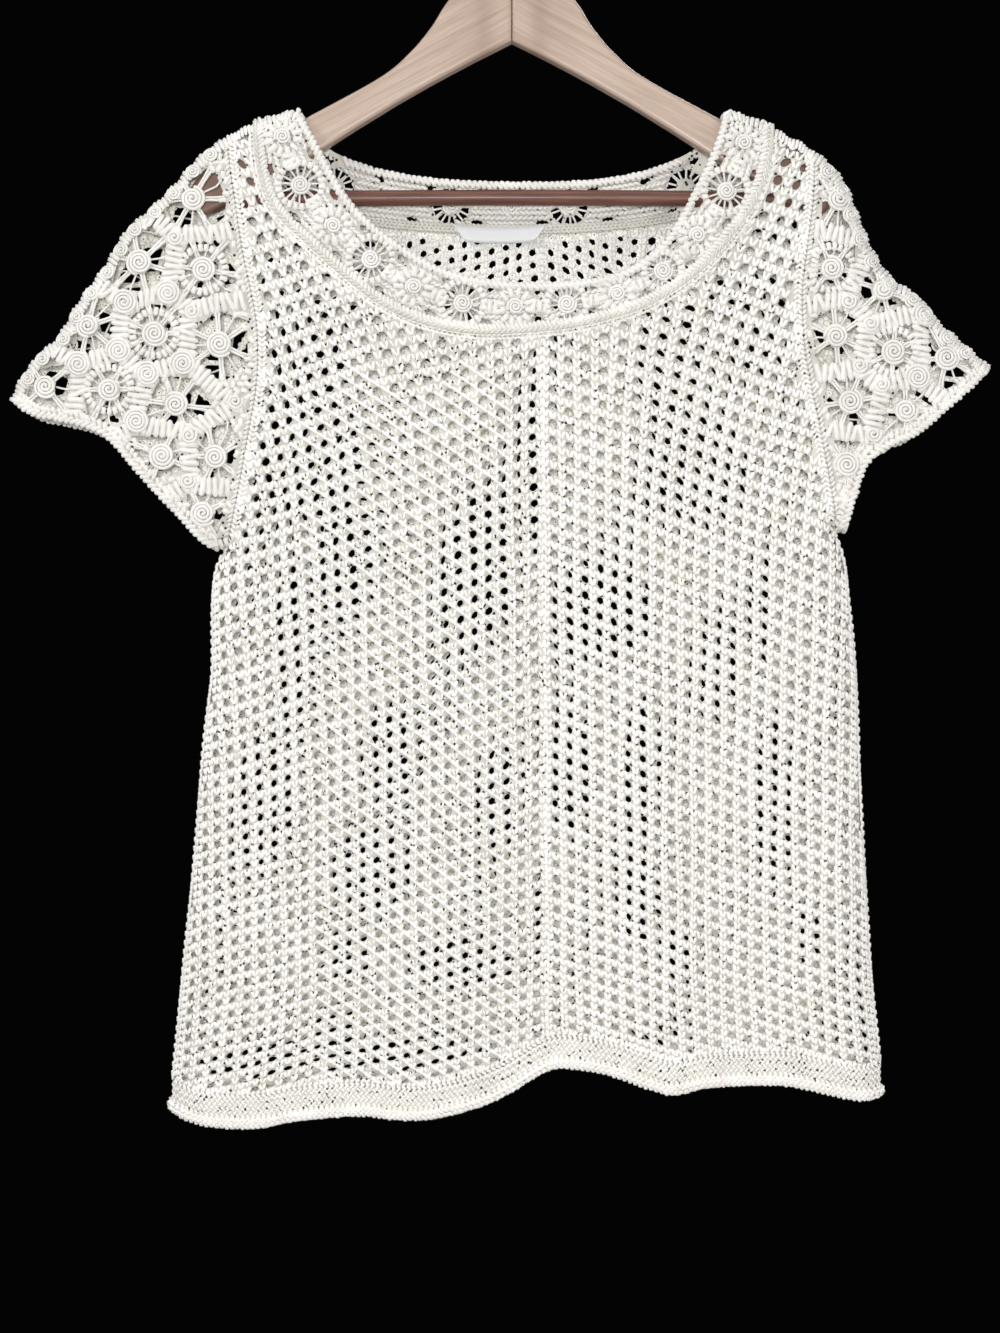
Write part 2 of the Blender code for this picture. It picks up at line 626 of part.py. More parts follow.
def neck_cord(name, side, outer):
    """Piping over the seam, with close points where it turns over the shoulder."""
    place, normal = surface(smooth(outer, 0.2), side, 0.05)
    fine = place + (PIPING_RADIUS + GAP) * normal
    fine[0, 1] = fine[-1, 1] = side * GAP / 2
    along = np.concatenate([[0], np.cumsum(np.linalg.norm(np.diff(fine, axis=0), axis=1))])
    ends = np.array(PIPING_CLOSE)
    first = ends[-1] + PIPING_STEP * 0.8
    middle = np.linspace(first, along[-1] - first,
                         round((along[-1] - 2 * first) / PIPING_STEP) + 1)
    at = np.concatenate([ends, middle, along[-1] - ends[::-1]])
    points = np.stack([np.interp(at, along, fine[:, k]) for k in range(3)], axis=1)
    return tube(name, points, PIPING_RADIUS, 1)


# ---------------------------------------------------------------- the hanger
def closed_mesh(obj):
    """Replaces a curve by its own welded mesh, so that it can be cut."""
    bpy.context.view_layer.update()
    evaluated = obj.evaluated_get(bpy.context.evaluated_depsgraph_get())
    mesh = bpy.data.meshes.new_from_object(evaluated)
    bm = bmesh.new()
    bm.from_mesh(mesh)
    bmesh.ops.remove_doubles(bm, verts=bm.verts, dist=1e-6)
    bm.to_mesh(mesh)
    bm.free()
    made = bpy.data.objects.new(obj.name + "_mesh", mesh)
    made.matrix_world = obj.matrix_world
    TOP.objects.link(made)
    name = obj.name
    bpy.data.objects.remove(obj)
    made.name = mesh.name = name
    return made


def arm(name, mirror):
    """One half of the hanger: a flat outline with rounded long edges."""
    curve = bpy.data.curves.new(name, "CURVE")
    curve.dimensions = "2D"
    curve.fill_mode = "BOTH"
    curve.extrude = (ARM_HALF - ARM_ROUND) * MM
    curve.bevel_depth = ARM_ROUND * MM
    curve.bevel_resolution = 1
    curve.offset = -ARM_ROUND * MM
    spline = curve.splines.new("POLY")
    spline.use_cyclic_u = True
    outline = [(mirror * x, z) for x, z in ARM_OUTLINE]
    outline = [(x + mirror * -GAP / 2 if x == 0 else x, z) for x, z in outline]
    spline.points.add(len(outline) - 1)
    for at, (x, z) in zip(spline.points, outline):
        at.co = (x * MM, z * MM, 0, 1)
    obj = bpy.data.objects.new(name, curve)
    obj.rotation_euler = (math.pi / 2, 0, 0)
    TOP.objects.link(obj)
    return closed_mesh(obj)


def cutter(name, radius, length, place, turn):
    bpy.ops.mesh.primitive_cylinder_add(vertices=16, radius=radius * MM, depth=length * MM)
    obj = bpy.context.object
    obj.name = name
    obj.location = [v * MM for v in place]
    obj.rotation_euler = turn
    obj.hide_render = True
    obj.display_type = "WIRE"
    for collection in list(obj.users_collection):
        collection.objects.unlink(obj)
    CUTTERS.objects.link(obj)
    return obj


def cut(obj, cutting):
    modifier = obj.modifiers.new("cut_" + cutting.name, "BOOLEAN")
    modifier.operation = "DIFFERENCE"
    modifier.solver = "EXACT"
    modifier.object = cutting


def hanger():
    bar_hole = cutter("bar_hole", BAR_RADIUS + BAR_FIT, 2 * (BAR_REACH + BAR_FIT),
                      (0, 0, BAR_HEIGHT), (0, math.pi / 2, 0))
    hook_hole = cutter("hook_hole", HOOK_WIRE + BAR_FIT, 60,
                       (0, 0, SHANK_FOOT + 30 - BAR_FIT), (0, 0, 0))
    made = []
    for name, mirror in (("hanger_arm_left", 1), ("hanger_arm_right", -1)):
        half = arm(name, mirror)
        cut(half, bar_hole)
        cut(half, hook_hole)
        made.append(half)
    reach_bar = [(x, 0, BAR_HEIGHT) for x in (-BAR_REACH, BAR_REACH)]
    made.append(tube("hanger_bar", reach_bar, BAR_RADIUS, 4))
    made.append(hook())
    return made


def hook():
    """Wire hook: a shank in the wood, an easy bend and an open loop."""
    middle = HOOK_WIRE - HOOK_LOOP
    line = [(0, SHANK_FOOT), (0, -90), (0, -75), (0, -61), (0.8, -52), (4.4, -44)]
    for a in np.radians(np.linspace(-58, 196, 20)):
        line.append((HOOK_LOOP * math.cos(a), middle + HOOK_LOOP * math.sin(a)))
    line = smooth(line, 6.5)
    return tube("hanger_hook", [(x, 0, z) for x, z in line], HOOK_WIRE, 2)


# ---------------------------------------------------------------- colours
def material(name, colour, roughness, metallic=0.0):
    made = bpy.data.materials.new(name)
    made.use_nodes = True
    shader = made.node_tree.nodes["Principled BSDF"]
    shader.inputs["Base Color"].default_value = (*colour, 1)
    shader.inputs["Roughness"].default_value = roughness
    shader.inputs["Metallic"].default_value = metallic
    return made


def paint(objects, *look):
    for obj in objects:
        obj.data.materials.append(material(obj.name, *look))
        if obj.type == "MESH":
            obj.data.shade_smooth()
            obj.data.set_sharp_from_angle(angle=math.radians(50))


# ---------------------------------------------------------------- the whole top
for old in list(bpy.data.objects):
    bpy.data.objects.remove(old)
TOP = bpy.data.collections.new("crochet_top_on_hanger")
CUTTERS = bpy.data.collections.new("cutters")
bpy.context.scene.collection.children.link(TOP)
bpy.context.scene.collection.children.link(CUTTERS)

cotton = [
    panel("front_panel", -1, NECK_FRONT_OUTER),
    panel("back_panel", 1, NECK_BACK_OUTER),
    hem("hem_front", -1),
    hem("hem_back", 1),
    neckband("neckband_front", -1, NECK_FRONT_INNER, NECK_FRONT_OUTER, NECK_FRONT_MOTIFS),
    neckband("neckband_back", 1, NECK_BACK_INNER, NECK_BACK_OUTER, NECK_BACK_MOTIFS),
    neck_cord("neck_cord_front", -1, NECK_FRONT_OUTER),
    neck_cord("neck_cord_back", 1, NECK_BACK_OUTER),
]
for word, way in (("front", -1), ("back", 1)):
    cotton.append(sleeve("sleeve_left_" + word, way, SHOULDER_LEFT, CUFF_LEFT,
                         ARMHOLE_LEFT, MOTIFS_LEFT))
    cotton.append(sleeve("sleeve_right_" + word, way, SHOULDER_RIGHT, CUFF_RIGHT,
                         ARMHOLE_RIGHT, MOTIFS_RIGHT))
paint(cotton, (0.88, 0.85, 0.79), 0.9)
paint([label()], (0.93, 0.92, 0.90), 0.45)
arm_left, arm_right, bar, wire = hanger()
paint([arm_left, arm_right], (0.72, 0.53, 0.38), 0.5)
paint([bar], (0.20, 0.07, 0.04), 0.3)
paint([wire], (0.75, 0.75, 0.76), 0.25, 1.0)
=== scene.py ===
"""Looks of the short-sleeved crochet top on its wooden hanger.

Lengths are in millimetres and are turned into metres where a mesh is made. A point
of the flat front view is (x, z). The cloth surface stands a half depth in front of
that plane, or behind it at the back, and its tables are the part's own. A side is -1
for the front and +1 for the back.

Each cloth piece is a thin pierced core, which is the sheet, under the yarn that is
worked over it: short strands for stitches, thicker ribs, bars, coils and cords.
"""
from math import atan2, cos, pi, radians, sin

import bpy
import numpy as np
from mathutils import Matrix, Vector
from mathutils.geometry import delaunay_2d_cdt


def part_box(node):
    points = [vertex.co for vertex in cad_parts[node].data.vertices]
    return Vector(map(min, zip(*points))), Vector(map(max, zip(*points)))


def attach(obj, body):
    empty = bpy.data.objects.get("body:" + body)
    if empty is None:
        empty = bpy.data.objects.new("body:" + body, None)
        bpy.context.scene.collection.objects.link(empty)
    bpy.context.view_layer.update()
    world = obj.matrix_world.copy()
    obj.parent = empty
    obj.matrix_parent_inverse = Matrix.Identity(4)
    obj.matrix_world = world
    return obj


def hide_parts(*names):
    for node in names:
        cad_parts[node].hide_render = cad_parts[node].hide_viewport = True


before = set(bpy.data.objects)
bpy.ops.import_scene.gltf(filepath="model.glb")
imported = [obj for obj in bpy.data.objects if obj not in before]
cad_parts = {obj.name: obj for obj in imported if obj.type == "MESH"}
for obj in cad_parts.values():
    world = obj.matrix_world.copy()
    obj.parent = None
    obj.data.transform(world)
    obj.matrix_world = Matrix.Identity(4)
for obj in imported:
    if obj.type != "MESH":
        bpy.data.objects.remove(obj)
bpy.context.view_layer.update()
MM = 0.001
RNG = np.random.default_rng(7)

# ---------------------------------------------------------------- sizes of the part
GAP = 0.3              # between neighbouring pieces at a seam
FOLD_WIDTH = 21.0      # how far from a folded edge the cloth reaches its full depth
HEM_DEPTH = 20.0       # plain strip and roll together
HEM_ROLL = 3.4         # radius of the roll
EDGE_HALF = 6.0        # plain crochet left along the edge of a lace piece
BAND_HALF = 4.5        # half the width of a ribbed band between two motifs
BANDED_APART = 75.0    # motifs further apart than this share no band
HUB_RADIUS = 7.5       # solid middle of a motif
MIN_GAP = 4.0          # a shorter gap in the lace stays closed
MAX_GAP = 16.0         # outward from the hub
LONGEST_REACH = 34.0   # of a gap, from the middle of a motif
LABEL_SIZE = (64.0, 11.0, 0.4)
LABEL_PLACE = (-8.0, -245.0)
LABEL_OUT = 4.9        # from the cloth's outer face, through the wall, to the ribbon
ARM_HALF = 6.5         # half the thickness of the hanger's arms
ARM_ROUND = 2.4        # rounding of their long edges
BAR_BOW = 1.6          # rise of the bar's middle over its ends

# Outline of the front view. Columns: x, z.
SHOULDER_LEFT = [(-140, -166.5), (-151, -166), (-164, -171), (-182, -178), (-189, -182),
                 (-209, -197), (-225, -215), (-241, -231), (-257, -246), (-271, -269),
                 (-288, -292), (-302, -316), (-315, -328), (-328, -346), (-333, -357)]
SHOULDER_RIGHT = [(141, -167), (152, -167), (164, -172), (180, -180), (201, -192),
                  (220, -211), (230, -234), (240, -258), (253, -277), (269, -288),
                  (282, -304), (299, -319), (317, -335)]
CUFF_LEFT = [(-333, -357), (-317, -369), (-298, -373), (-277, -379), (-265, -387),
             (-251, -403), (-237, -419), (-216, -441), (-206, -452), (-196, -458)]
CUFF_RIGHT = [(317, -335), (309, -346), (290, -363), (269, -381), (252, -389),
              (238, -398), (232, -408), (226, -427), (221, -446)]
ARMHOLE_LEFT = [(-189, -182), (-187, -201), (-183, -228), (-178, -261), (-170, -300),
                (-168, -324), (-169, -350), (-173, -374), (-177, -397), (-181, -420),
                (-185, -439), (-189, -455)]
ARMHOLE_RIGHT = [(201, -192), (199, -228), (196, -253), (192, -286), (193, -320),
                 (198, -350), (203, -374), (208, -401), (212, -424), (215, -444)]
SIDE_LEFT = [(-189, -455), (-197, -468), (-200, -492), (-200, -535), (-203, -562),
             (-207, -600), (-212, -663), (-220, -742), (-224, -785), (-227, -815),
             (-227, -845)]
SIDE_RIGHT = [(215, -444), (222, -465), (225, -492), (228, -520), (230, -550),
              (232, -603), (235, -663), (240, -742), (245, -790), (247, -815),
              (247, -845)]
HEM_LINE = [(-235, -828), (-226, -829), (-205, -836), (-180, -838), (-161, -837),
            (-145, -834), (-102, -831), (-78, -833), (-55, -832), (-22, -824),
            (-1, -815), (22, -802), (38, -800), (65, -804), (90, -812), (106, -816),
            (128, -812), (155, -811), (181, -811), (202, -815), (226, -820),
            (240, -820), (256, -815)]
NECK_FRONT_INNER = [(-140, -166.5), (-127, -192), (-110, -222), (-92, -242), (-66, -261),
                    (-40, -274), (-10, -280), (28, -281), (62, -277), (85, -267),
                    (103, -250), (118, -224), (132, -195), (141, -167)]
NECK_FRONT_OUTER = [(-170, -173.5), (-168, -200), (-162, -224), (-151, -240), (-136, -254),
                    (-114, -274), (-88, -294), (-57, -308), (-24, -314), (12, -313),
                    (50, -308), (84, -298), (108, -285), (129, -268), (147, -247),
                    (161, -226), (169, -202), (172, -176)]
NECK_BACK_INNER = [(-140, -166.5), (-131, -179), (-121, -188), (-103, -196), (-81, -202),
                   (-48, -207), (0, -209), (48, -208), (83, -203), (105, -196),
                   (123, -187), (133, -178), (141, -167)]
NECK_BACK_OUTER = [(-170, -173.5), (-164, -202), (-149, -222), (-120, -234), (-84, -240),
                   (-44, -243), (0, -244), (45, -243), (88, -239), (122, -232),
                   (151, -220), (167, -201), (172, -176)]
# Half depth of the hollow top. Columns: z, half depth, size of the hanging folds.
DEPTHS = [(-160, 14.5, 0.0), (-240, 14.5, 0.0), (-340, 15.0, 0.8), (-460, 16.5, 1.8),
          (-600, 18.0, 3.0), (-720, 19.5, 4.2), (-840, 21.0, 5.0)]
# Hanging folds. Columns: middle x at the hem, lean, half width, share of the size.
FOLDS_FRONT = [(-175, 0.10, 26, 0.8), (-105, 0.07, 30, -0.7), (-38, 0.03, 27, 0.9),
               (30, -0.02, 25, -1.0), (101, -0.05, 24, 1.0), (165, -0.09, 30, -0.6)]
FOLDS_BACK = [(-150, 0.08, 30, -0.8), (-80, 0.05, 26, 0.9), (0, 0.00, 30, -0.8),
              (74, -0.05, 28, 1.0), (148, -0.08, 30, -0.7)]
# Middles of the lace motifs on the sleeves. Columns: x, z, bars.
MOTIFS_LEFT = [(-211, -226, 6), (-204, -273, 6), (-246, -268, 6), (-193, -322, 6),
               (-236, -315, 7), (-280, -310, 6), (-308, -350, 4), (-266, -352, 6),
               (-222, -362, 6), (-196, -397, 5), (-231, -396, 4), (-204, -434, 4)]
MOTIFS_RIGHT = [(216, -226, 6), (211, -272, 6), (245, -286, 6), (214, -317, 6),
                (252, -327, 6), (287, -331, 5), (223, -360, 6), (260, -366, 4),
                (221, -402, 5)]
BACK_SHIFT = (4.0, -9.0)   # of the back's motifs from the front's, inward and up
NECK_FRONT_MOTIFS = 13
NECK_BACK_MOTIFS = 9
WHEEL_SLOTS = 5
WHEEL_HUB = 6.0        # radius
WHEEL_RIM = 12.6
RIM_WIDTH = 3.6
SIDE_GAP = (4.6, 2.4)  # half length and half width of the small gaps between wheels
SIDE_GAP_PLACE = 7.0   # their distance from the band's edges
WHEEL_SPOKES = 15
WHEEL_RIBS = 22        # round its rim
ROSETTE_HUB = 6.3      # radius
ROSETTE_RIBS = 12
ROSETTE_RING = 10.0    # radius at the middles of its ribs
BAND_ROWS = 8          # rows of stitches along the neckband
RING_RIBS = 24         # round the motifs of the sleeves that have a ring
RING_RADIUS = 14.6
KNOT_RADII = (6.2, 9.4)   # of the coils where bands meet: near the armhole, and elsewhere
KNOT_NEAR = 46.0
# Left arm of the hanger, seen from the front. Columns: x, z.
ARM_OUTLINE = [(0, -79), (-20, -80), (-36, -86), (-45, -96), (-53, -109), (-67, -126),
               (-88, -143.5), (-138, -171), (-201, -205), (-209, -210.5), (-213.5, -218),
               (-212, -228), (-205, -235), (-173, -219), (-129, -193), (-87, -166),
               (-40, -139), (0, -119)]

# ---------------------------------------------------------------- sizes of the yarn
CORE_TOP = -1.0        # the core's outer face, under the cloth's outer points
CORE_THICK = 0.8
MIDDLE = -0.9          # the yarn's middle, under the cloth's outer points
BAR_NARROW = 0.9       # half the width of the core under a bar
COIL_CORD = 1.15       # radius of the cord that hubs are wound from
RIB_STEP = 4.1         # spacing of the ribs of a band
RIB_LONG = 13.5
RIB_WIDE = 4.0
FILL_STEP = (4.8, 4.2)    # spacing of the small knots, across and down
FILL_EDGE = 3.4        # their distance from the edges
FILL_APART = 3.2       # and from the other yarn
BAR_RADIUS = 0.85      # bars are pairs of cords
SPOKE_RADIUS = 0.7
PLY_RADIUS = 0.9       # of the piping's two plies
PLY_TURN = 7.0         # length in which they turn once round each other
SEAM_HALF = 112.0      # how far the piping's seam is seen within the back neck
SHADE_SEAM_ROWS = (0.8, 2.8, 4.8)   # its rows over the lower edge of the neckband, in the darker cord yarn as painted shade
HEM_CURL = 2.3         # radius of the curl's middle
HEM_STITCH = 3.4       # width of a stitch of the hem
HEM_ROWS = (7.6, 9.9, 12.2, 14.5, 16.8, 18.6)   # heights of its rows over its foot
ROLL_OUT = 2.6         # from the curl's middle to the middles of its stitches
ROLL_ROWS = (62, 28, -6, -40, -74, -108, -142, -176)   # rows round the roll, in degrees

# Net of the body. Columns: z, width of a column of holes, height of a row.
NET_PITCH = [(-150, 12.0, 12.2), (-330, 10.5, 11.2), (-480, 9.9, 10.5),
             (-600, 9.6, 10.2), (-740, 9.5, 9.4), (-800, 9.7, 8.6), (-850, 10.0, 6.8)]
# Holes of the net. Columns: z, half width, half height.
NET_HOLE = [(-150, 2.5, 3.9), (-240, 2.8, 3.5), (-330, 2.9, 3.3), (-450, 2.6, 2.9),
            (-550, 2.3, 2.6), (-700, 2.2, 2.3), (-780, 2.4, 2.0), (-800, 2.9, 1.6),
            (-850, 3.2, 1.4)]
HOLE_MARGIN = 2.4      # from a hole to the edge of its panel
HOLE_CORNERS = {-1: 8, 1: 6}
NET_MIDDLE = [(-150, 19.0), (-850, 24.0)]   # the rib between the two halves: z, x
DROP_LEFT = 0.26       # rows that each column hangs lower than the one nearer the middle
DROP_RIGHT = 0.33
NET_CENTRE = 0.33      # columns that the first holes stand nearer to the middle rib
LEAN_FROM = -460.0     # the yoke's columns lean outward above this height
LEAN_TOP = 75.0        # how far, at the shoulder
LEAN_OVER = 310.0      # height over which they come to it
TURN_FROM = -440.0     # below this height the net turns round the side folds
TURN_EASE = 50.0
NECK_ZONE = -305.0     # above this height the back's columns stand upright and closer
EASE = 45.0            # height over which they come to it
FINER_WITHIN = 150.0   # from the middle the back's net is finer there, fading out over
FINER_EASE = 55.0
FINER = (0.2, 0.28)    # by these shares, across and down
SEEN_FROM = -320.0     # above this height the back's net has a second layer inside
LOW_FROM = -770.0      # below this height the back's holes are larger
LOW_EASE = 20.0
LOW_MORE = (0.7, 0.5)  # by how much, in half width and half height
NET_COLUMNS = 27
NET_ROWS = 82
FOLD_ARC = 30.0        # length of the cloth round a folded edge, over FOLD_WIDTH
# Patches where the holes of the back fall behind those of the front, and the dark shows
# through both. Columns: x, z, half width, half height.
CLEAR_PATCHES = [(-125, -330, 12, 26), (-130, -400, 26, 32), (-112, -465, 14, 34),
                 (-147, -520, 10, 42), (-24, -474, 22, 40), (13, -412, 6, 46),
                 (58, -499, 30, 26), (101, -334, 18, 40), (122, -406, 28, 34),
                 (160, -328, 14, 16), (133, -535, 14, 32), (163, -500, 8, 30),
                 (-166, -626, 16, 34), (-84, -592, 15, 26), (-12, -620, 12, 28),
                 (36, -604, 13, 38), (83, -600, 9, 40), (171, -620, 12, 52),
                 (-94, -667, 22, 24), (-110, -724, 13, 14), (-119, -772, 12, 12),
                 (-30, -731, 34, 13), (17, -702, 6, 26), (83, -690, 11, 26),
                 (105, -721, 9, 16), (192, -709, 8, 18), (-102, -800, 88, 16),
                 (60, -788, 22, 9)]
EYE = (-8.0, -535.0)   # opposite the viewer, where front and back meet without a shift
BEHIND = 0.027         # the back's shift away from there, as a share of the distance
RIDGES = (2.2, 16.4)   # columns of the left half between which stitches join into ridges
RIDGES_BELOW = -345.0  # height below which they do


# ---------------------------------------------------------------- flat geometry
def unit(v):
    return v / np.maximum(np.linalg.norm(v, axis=-1, keepdims=True), 1e-9)


def spaced(line, step):
    along = np.concatenate([[0], np.cumsum(np.linalg.norm(np.diff(line, axis=0), axis=1))])
    at = np.linspace(0, along[-1], max(1, round(along[-1] / step)) + 1)
    return np.stack([np.interp(at, along, line[:, k]) for k in range(line.shape[1])], axis=1)


def smooth(points, step):
    """A smooth curve through the points, resampled about every step mm."""
    p = np.array(points, float)
    p = np.vstack([2 * p[0] - p[1], p, 2 * p[-1] - p[-2]])
    fine = []
    for a, b, c, d in zip(p[:-3], p[1:-2], p[2:-1], p[3:]):
        for t in np.linspace(0, 1, 12, endpoint=False):
            fine.append(0.5 * (2 * b + (c - a) * t + (2 * a - 5 * b + 4 * c - d) * t ** 2
                               + (3 * b - a - 3 * c + d) * t ** 3))
    return spaced(np.array(fine + [p[-2]]), step)


def nearest(points, line):
    """Distance to a polyline and the direction away from it, for each point."""
    best = np.full(len(points), np.inf)
    away = np.zeros_like(points)
    for a, b in zip(line[:-1], line[1:]):
        d = b - a
        t = np.clip(((points - a) @ d) / max(d @ d, 1e-9), 0, 1)
        off = points - a - t[:, None] * d
        far = np.linalg.norm(off, axis=1)
        near = far < best
        best[near], away[near] = far[near], off[near]
    return best, away / np.maximum(best, 1e-9)[:, None]


def inside(points, loops):
    """Whether each point is inside the first loop and outside the others."""
    odd = np.zeros(len(points), bool)
    for loop in loops:
        low, high = loop.min(axis=0), loop.max(axis=0)
        at = np.nonzero(((points > low) & (points < high)).all(axis=1))[0]
        p = points[at]
        flips = np.zeros(len(at), bool)
        for (x1, z1), (x2, z2) in zip(loop, np.roll(loop, -1, axis=0)):
            crosses = (z1 > p[:, 1]) != (z2 > p[:, 1])
            cut = x1 + (p[:, 1] - z1) * (x2 - x1) / (z2 - z1 if z2 != z1 else 1e-9)
            flips ^= crosses & (p[:, 0] < cut)
        odd[at] ^= flips
    return odd


def closed(loop):
    return np.vstack([loop, loop[:1]])


def area_of(loop):
    """Area within a loop, below zero where it runs clockwise."""
    x, z = loop.T
    return np.sum(x * np.roll(z, -1) - z * np.roll(x, -1)) / 2


def loop_of(*lines):
    """One closed counter-clockwise outline from lines that meet end to end."""
    loop = np.vstack([line[:-1] for line in lines])
    return loop if area_of(loop) > 0 else loop[::-1]


def inset(loop, by):
    ahead, behind = np.roll(loop, -1, axis=0) - loop, loop - np.roll(loop, 1, axis=0)
    normals = []
    for e in (ahead, behind):
        e = e / np.linalg.norm(e, axis=1)[:, None]
        normals.append(np.stack([-e[:, 1], e[:, 0]], axis=1))
    n = normals[0] + normals[1]
    n /= np.maximum((n * normals[0]).sum(1), 0.35)[:, None]
    return loop + by * n


def cut_line(line, low, high):
    """The stretch of a line that starts and ends nearest to two points."""
    i = int(np.linalg.norm(line - low, axis=1).argmin())
    j = int(np.linalg.norm(line - high, axis=1).argmin())
    part = line[min(i, j):max(i, j) + 1].copy()
    if i > j:
        part = part[::-1]
    part[0], part[-1] = low, high
    return part


def on_shoulders(starts, ends):
    """The stretches of the two shoulder folds between two points on each."""
    return [cut_line(smooth(line, 1), start, end)
            for line, start, end in zip((SHOULDER_LEFT, SHOULDER_RIGHT), starts, ends)]


def ahead_and_left(line):
    """Unit directions along a flat line, and to the left of it."""
    ahead = unit(np.gradient(line, axis=0))
    return ahead, np.stack([-ahead[:, 1], ahead[:, 0]], axis=1)


def turned_into(loop, across, line):
    """The directions across a line, turned so that they point into a loop."""
    return across * np.where(inside(line + 3 * across, [loop]), 1, -1)[:, None]


def polar(middle, radius, angle):
    return middle + np.stack([radius * np.cos(angle), radius * np.sin(angle)], axis=-1)


def table(rows, at):
    """The other columns of a table, read at values of its first, which falls."""
    columns = np.array(rows[::-1], float).T
    return [np.interp(at, columns[0], column) for column in columns[1:]]


def side_x(line, z):
    """The x of a side of the body at the heights z."""
    x, height = np.array(line, float).T
    return np.interp(-z, -height, x)


# ---------------------------------------------------------------- cloth surface
UNDER_LEFT, UNDER_RIGHT = (np.array([cuff[-1], armhole[-1]], float) for cuff, armhole in
                           ((CUFF_LEFT, ARMHOLE_LEFT), (CUFF_RIGHT, ARMHOLE_RIGHT)))
FOLD_LINES = [smooth(line, 4) for line in (SHOULDER_LEFT, SHOULDER_RIGHT, SIDE_LEFT, SIDE_RIGHT)]
FOLD_LINES += [UNDER_LEFT, UNDER_RIGHT]
WHOLE = loop_of(smooth(SHOULDER_LEFT, 5)[::-1], smooth(NECK_BACK_INNER, 5),
                smooth(SHOULDER_RIGHT, 5), smooth(CUFF_RIGHT, 5), UNDER_RIGHT,
                smooth(SIDE_RIGHT, 5), np.array([SIDE_RIGHT[-1], SIDE_LEFT[-1]], float),
                smooth(SIDE_LEFT, 5)[::-1], UNDER_LEFT[::-1], smooth(CUFF_LEFT, 5)[::-1])


def from_fold(points):
    """Distance from the folded edges of the top, and the direction into the cloth."""
    best, away = nearest(points, FOLD_LINES[0])
    for line in FOLD_LINES[1:]:
        far, off = nearest(points, line)
        near = far < best
        best[near], away[near] = far[near], off[near]
    return best, away


def full_depth(points, folds):
    deep, wave = table(DEPTHS, points[:, 1])
    for middle, lean, half, share in folds:
        x = middle + lean * (points[:, 1] - DEPTHS[-1][0])
        deep = deep + wave * share * np.exp(-((points[:, 0] - x) / half) ** 2)
    return deep


def surface(points, side, fold_edge=0.4):
    """Outer points (x, y, z) of the cloth and their outward normals."""
    folds = FOLDS_FRONT if side < 0 else FOLDS_BACK
    far, into = from_fold(points)
    t = np.clip(far / FOLD_WIDTH, 0.0, 1.0)
    deep = full_depth(points, folds)
    shape = np.sqrt(1 - (1 - t) ** 2)
    steep = deep * (1 - t) / np.maximum(shape, 0.02) / FOLD_WIDTH
    step = 2.0
    waves = [(full_depth(points + e, folds) - deep) / step * shape
             for e in np.array([(step, 0), (0, step)])]
    slope = steep[:, None] * into + np.stack(waves, axis=1)
    normal = np.stack([-slope[:, 0], np.full(len(points), float(side)), -slope[:, 1]], axis=1)
    at_fold = far < fold_edge
    normal[at_fold, 1] = 0
    normal /= np.linalg.norm(normal, axis=1)[:, None]
    place = np.stack([points[:, 0], side * deep * shape, points[:, 1]], axis=1)
    place[at_fold, 1] = side * GAP / 2
    return place, normal


def lifted(points, side, lift=MIDDLE):
    """Points of the cloth moved out by lift, and the cloth's normals there."""
    place, normal = surface(np.asarray(points, float).reshape(-1, 2), side)
    return place + np.reshape(lift, (-1, 1)) * normal, normal


# ---------------------------------------------------------------- pieces
def settle(name, mesh, look, replaced):
    """A piece of the scene from a finished mesh."""
    mesh.materials.clear()
    mesh.materials.append(look)
    obj = bpy.data.objects.new(name, mesh)
    bpy.context.scene.collection.objects.link(obj)
    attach(obj, "root")
    if replaced:
        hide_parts(*replaced)
    return obj


class Piece:
    """One mesh, made of closed bodies that are added one batch at a time."""

    def __init__(self, name):
        self.name = name
        self.verts = []
        self.tris = []
        self.count = 0

    def add(self, verts, tris):
        self.verts.append(np.asarray(verts, float).reshape(-1, 3))
        self.tris.append(np.asarray(tris, int).reshape(-1, 3) + self.count)
        self.count += len(self.verts[-1])

    def make(self, slot, look, replaced=()):
        verts = np.vstack(self.verts) * MM
        tris = np.vstack(self.tris)
        mesh = bpy.data.meshes.new(self.name)
        mesh.vertices.add(len(verts))
        mesh.vertices.foreach_set("co", verts.ravel())
        mesh.loops.add(len(tris) * 3)
        mesh.loops.foreach_set("vertex_index", tris.ravel())
        mesh.polygons.add(len(tris))
        mesh.polygons.foreach_set("loop_start", np.arange(len(tris)) * 3)
        mesh.update(calc_edges=True)
        mesh.shade_smooth()
        return settle(self.name, mesh, look, replaced)


def ring_tris(rings, sides):
    """Triangles of a tip, so many rings of so many points, and another tip."""
    tris = []
    last = 1 + rings * sides
    for s in range(sides):
        t = (s + 1) % sides
        tris += [(0, 1 + s, 1 + t), (last, last - sides + t, last - sides + s)]
        for r in range(rings - 1):
            a, b = 1 + r * sides, 1 + (r + 1) * sides
            tris += [(a + s, b + t, a + t), (a + s, b + s, b + t)]
    return np.array(tris)


def grid_tris(rows, columns):
    """Triangles of rows of points, each of so many columns."""
    a = (np.arange(rows - 1)[:, None] * columns + np.arange(columns - 1)).ravel()
    b = a + columns
    return np.vstack([np.stack([a, b + 1, b], axis=1), np.stack([a, a + 1, b + 1], axis=1)])


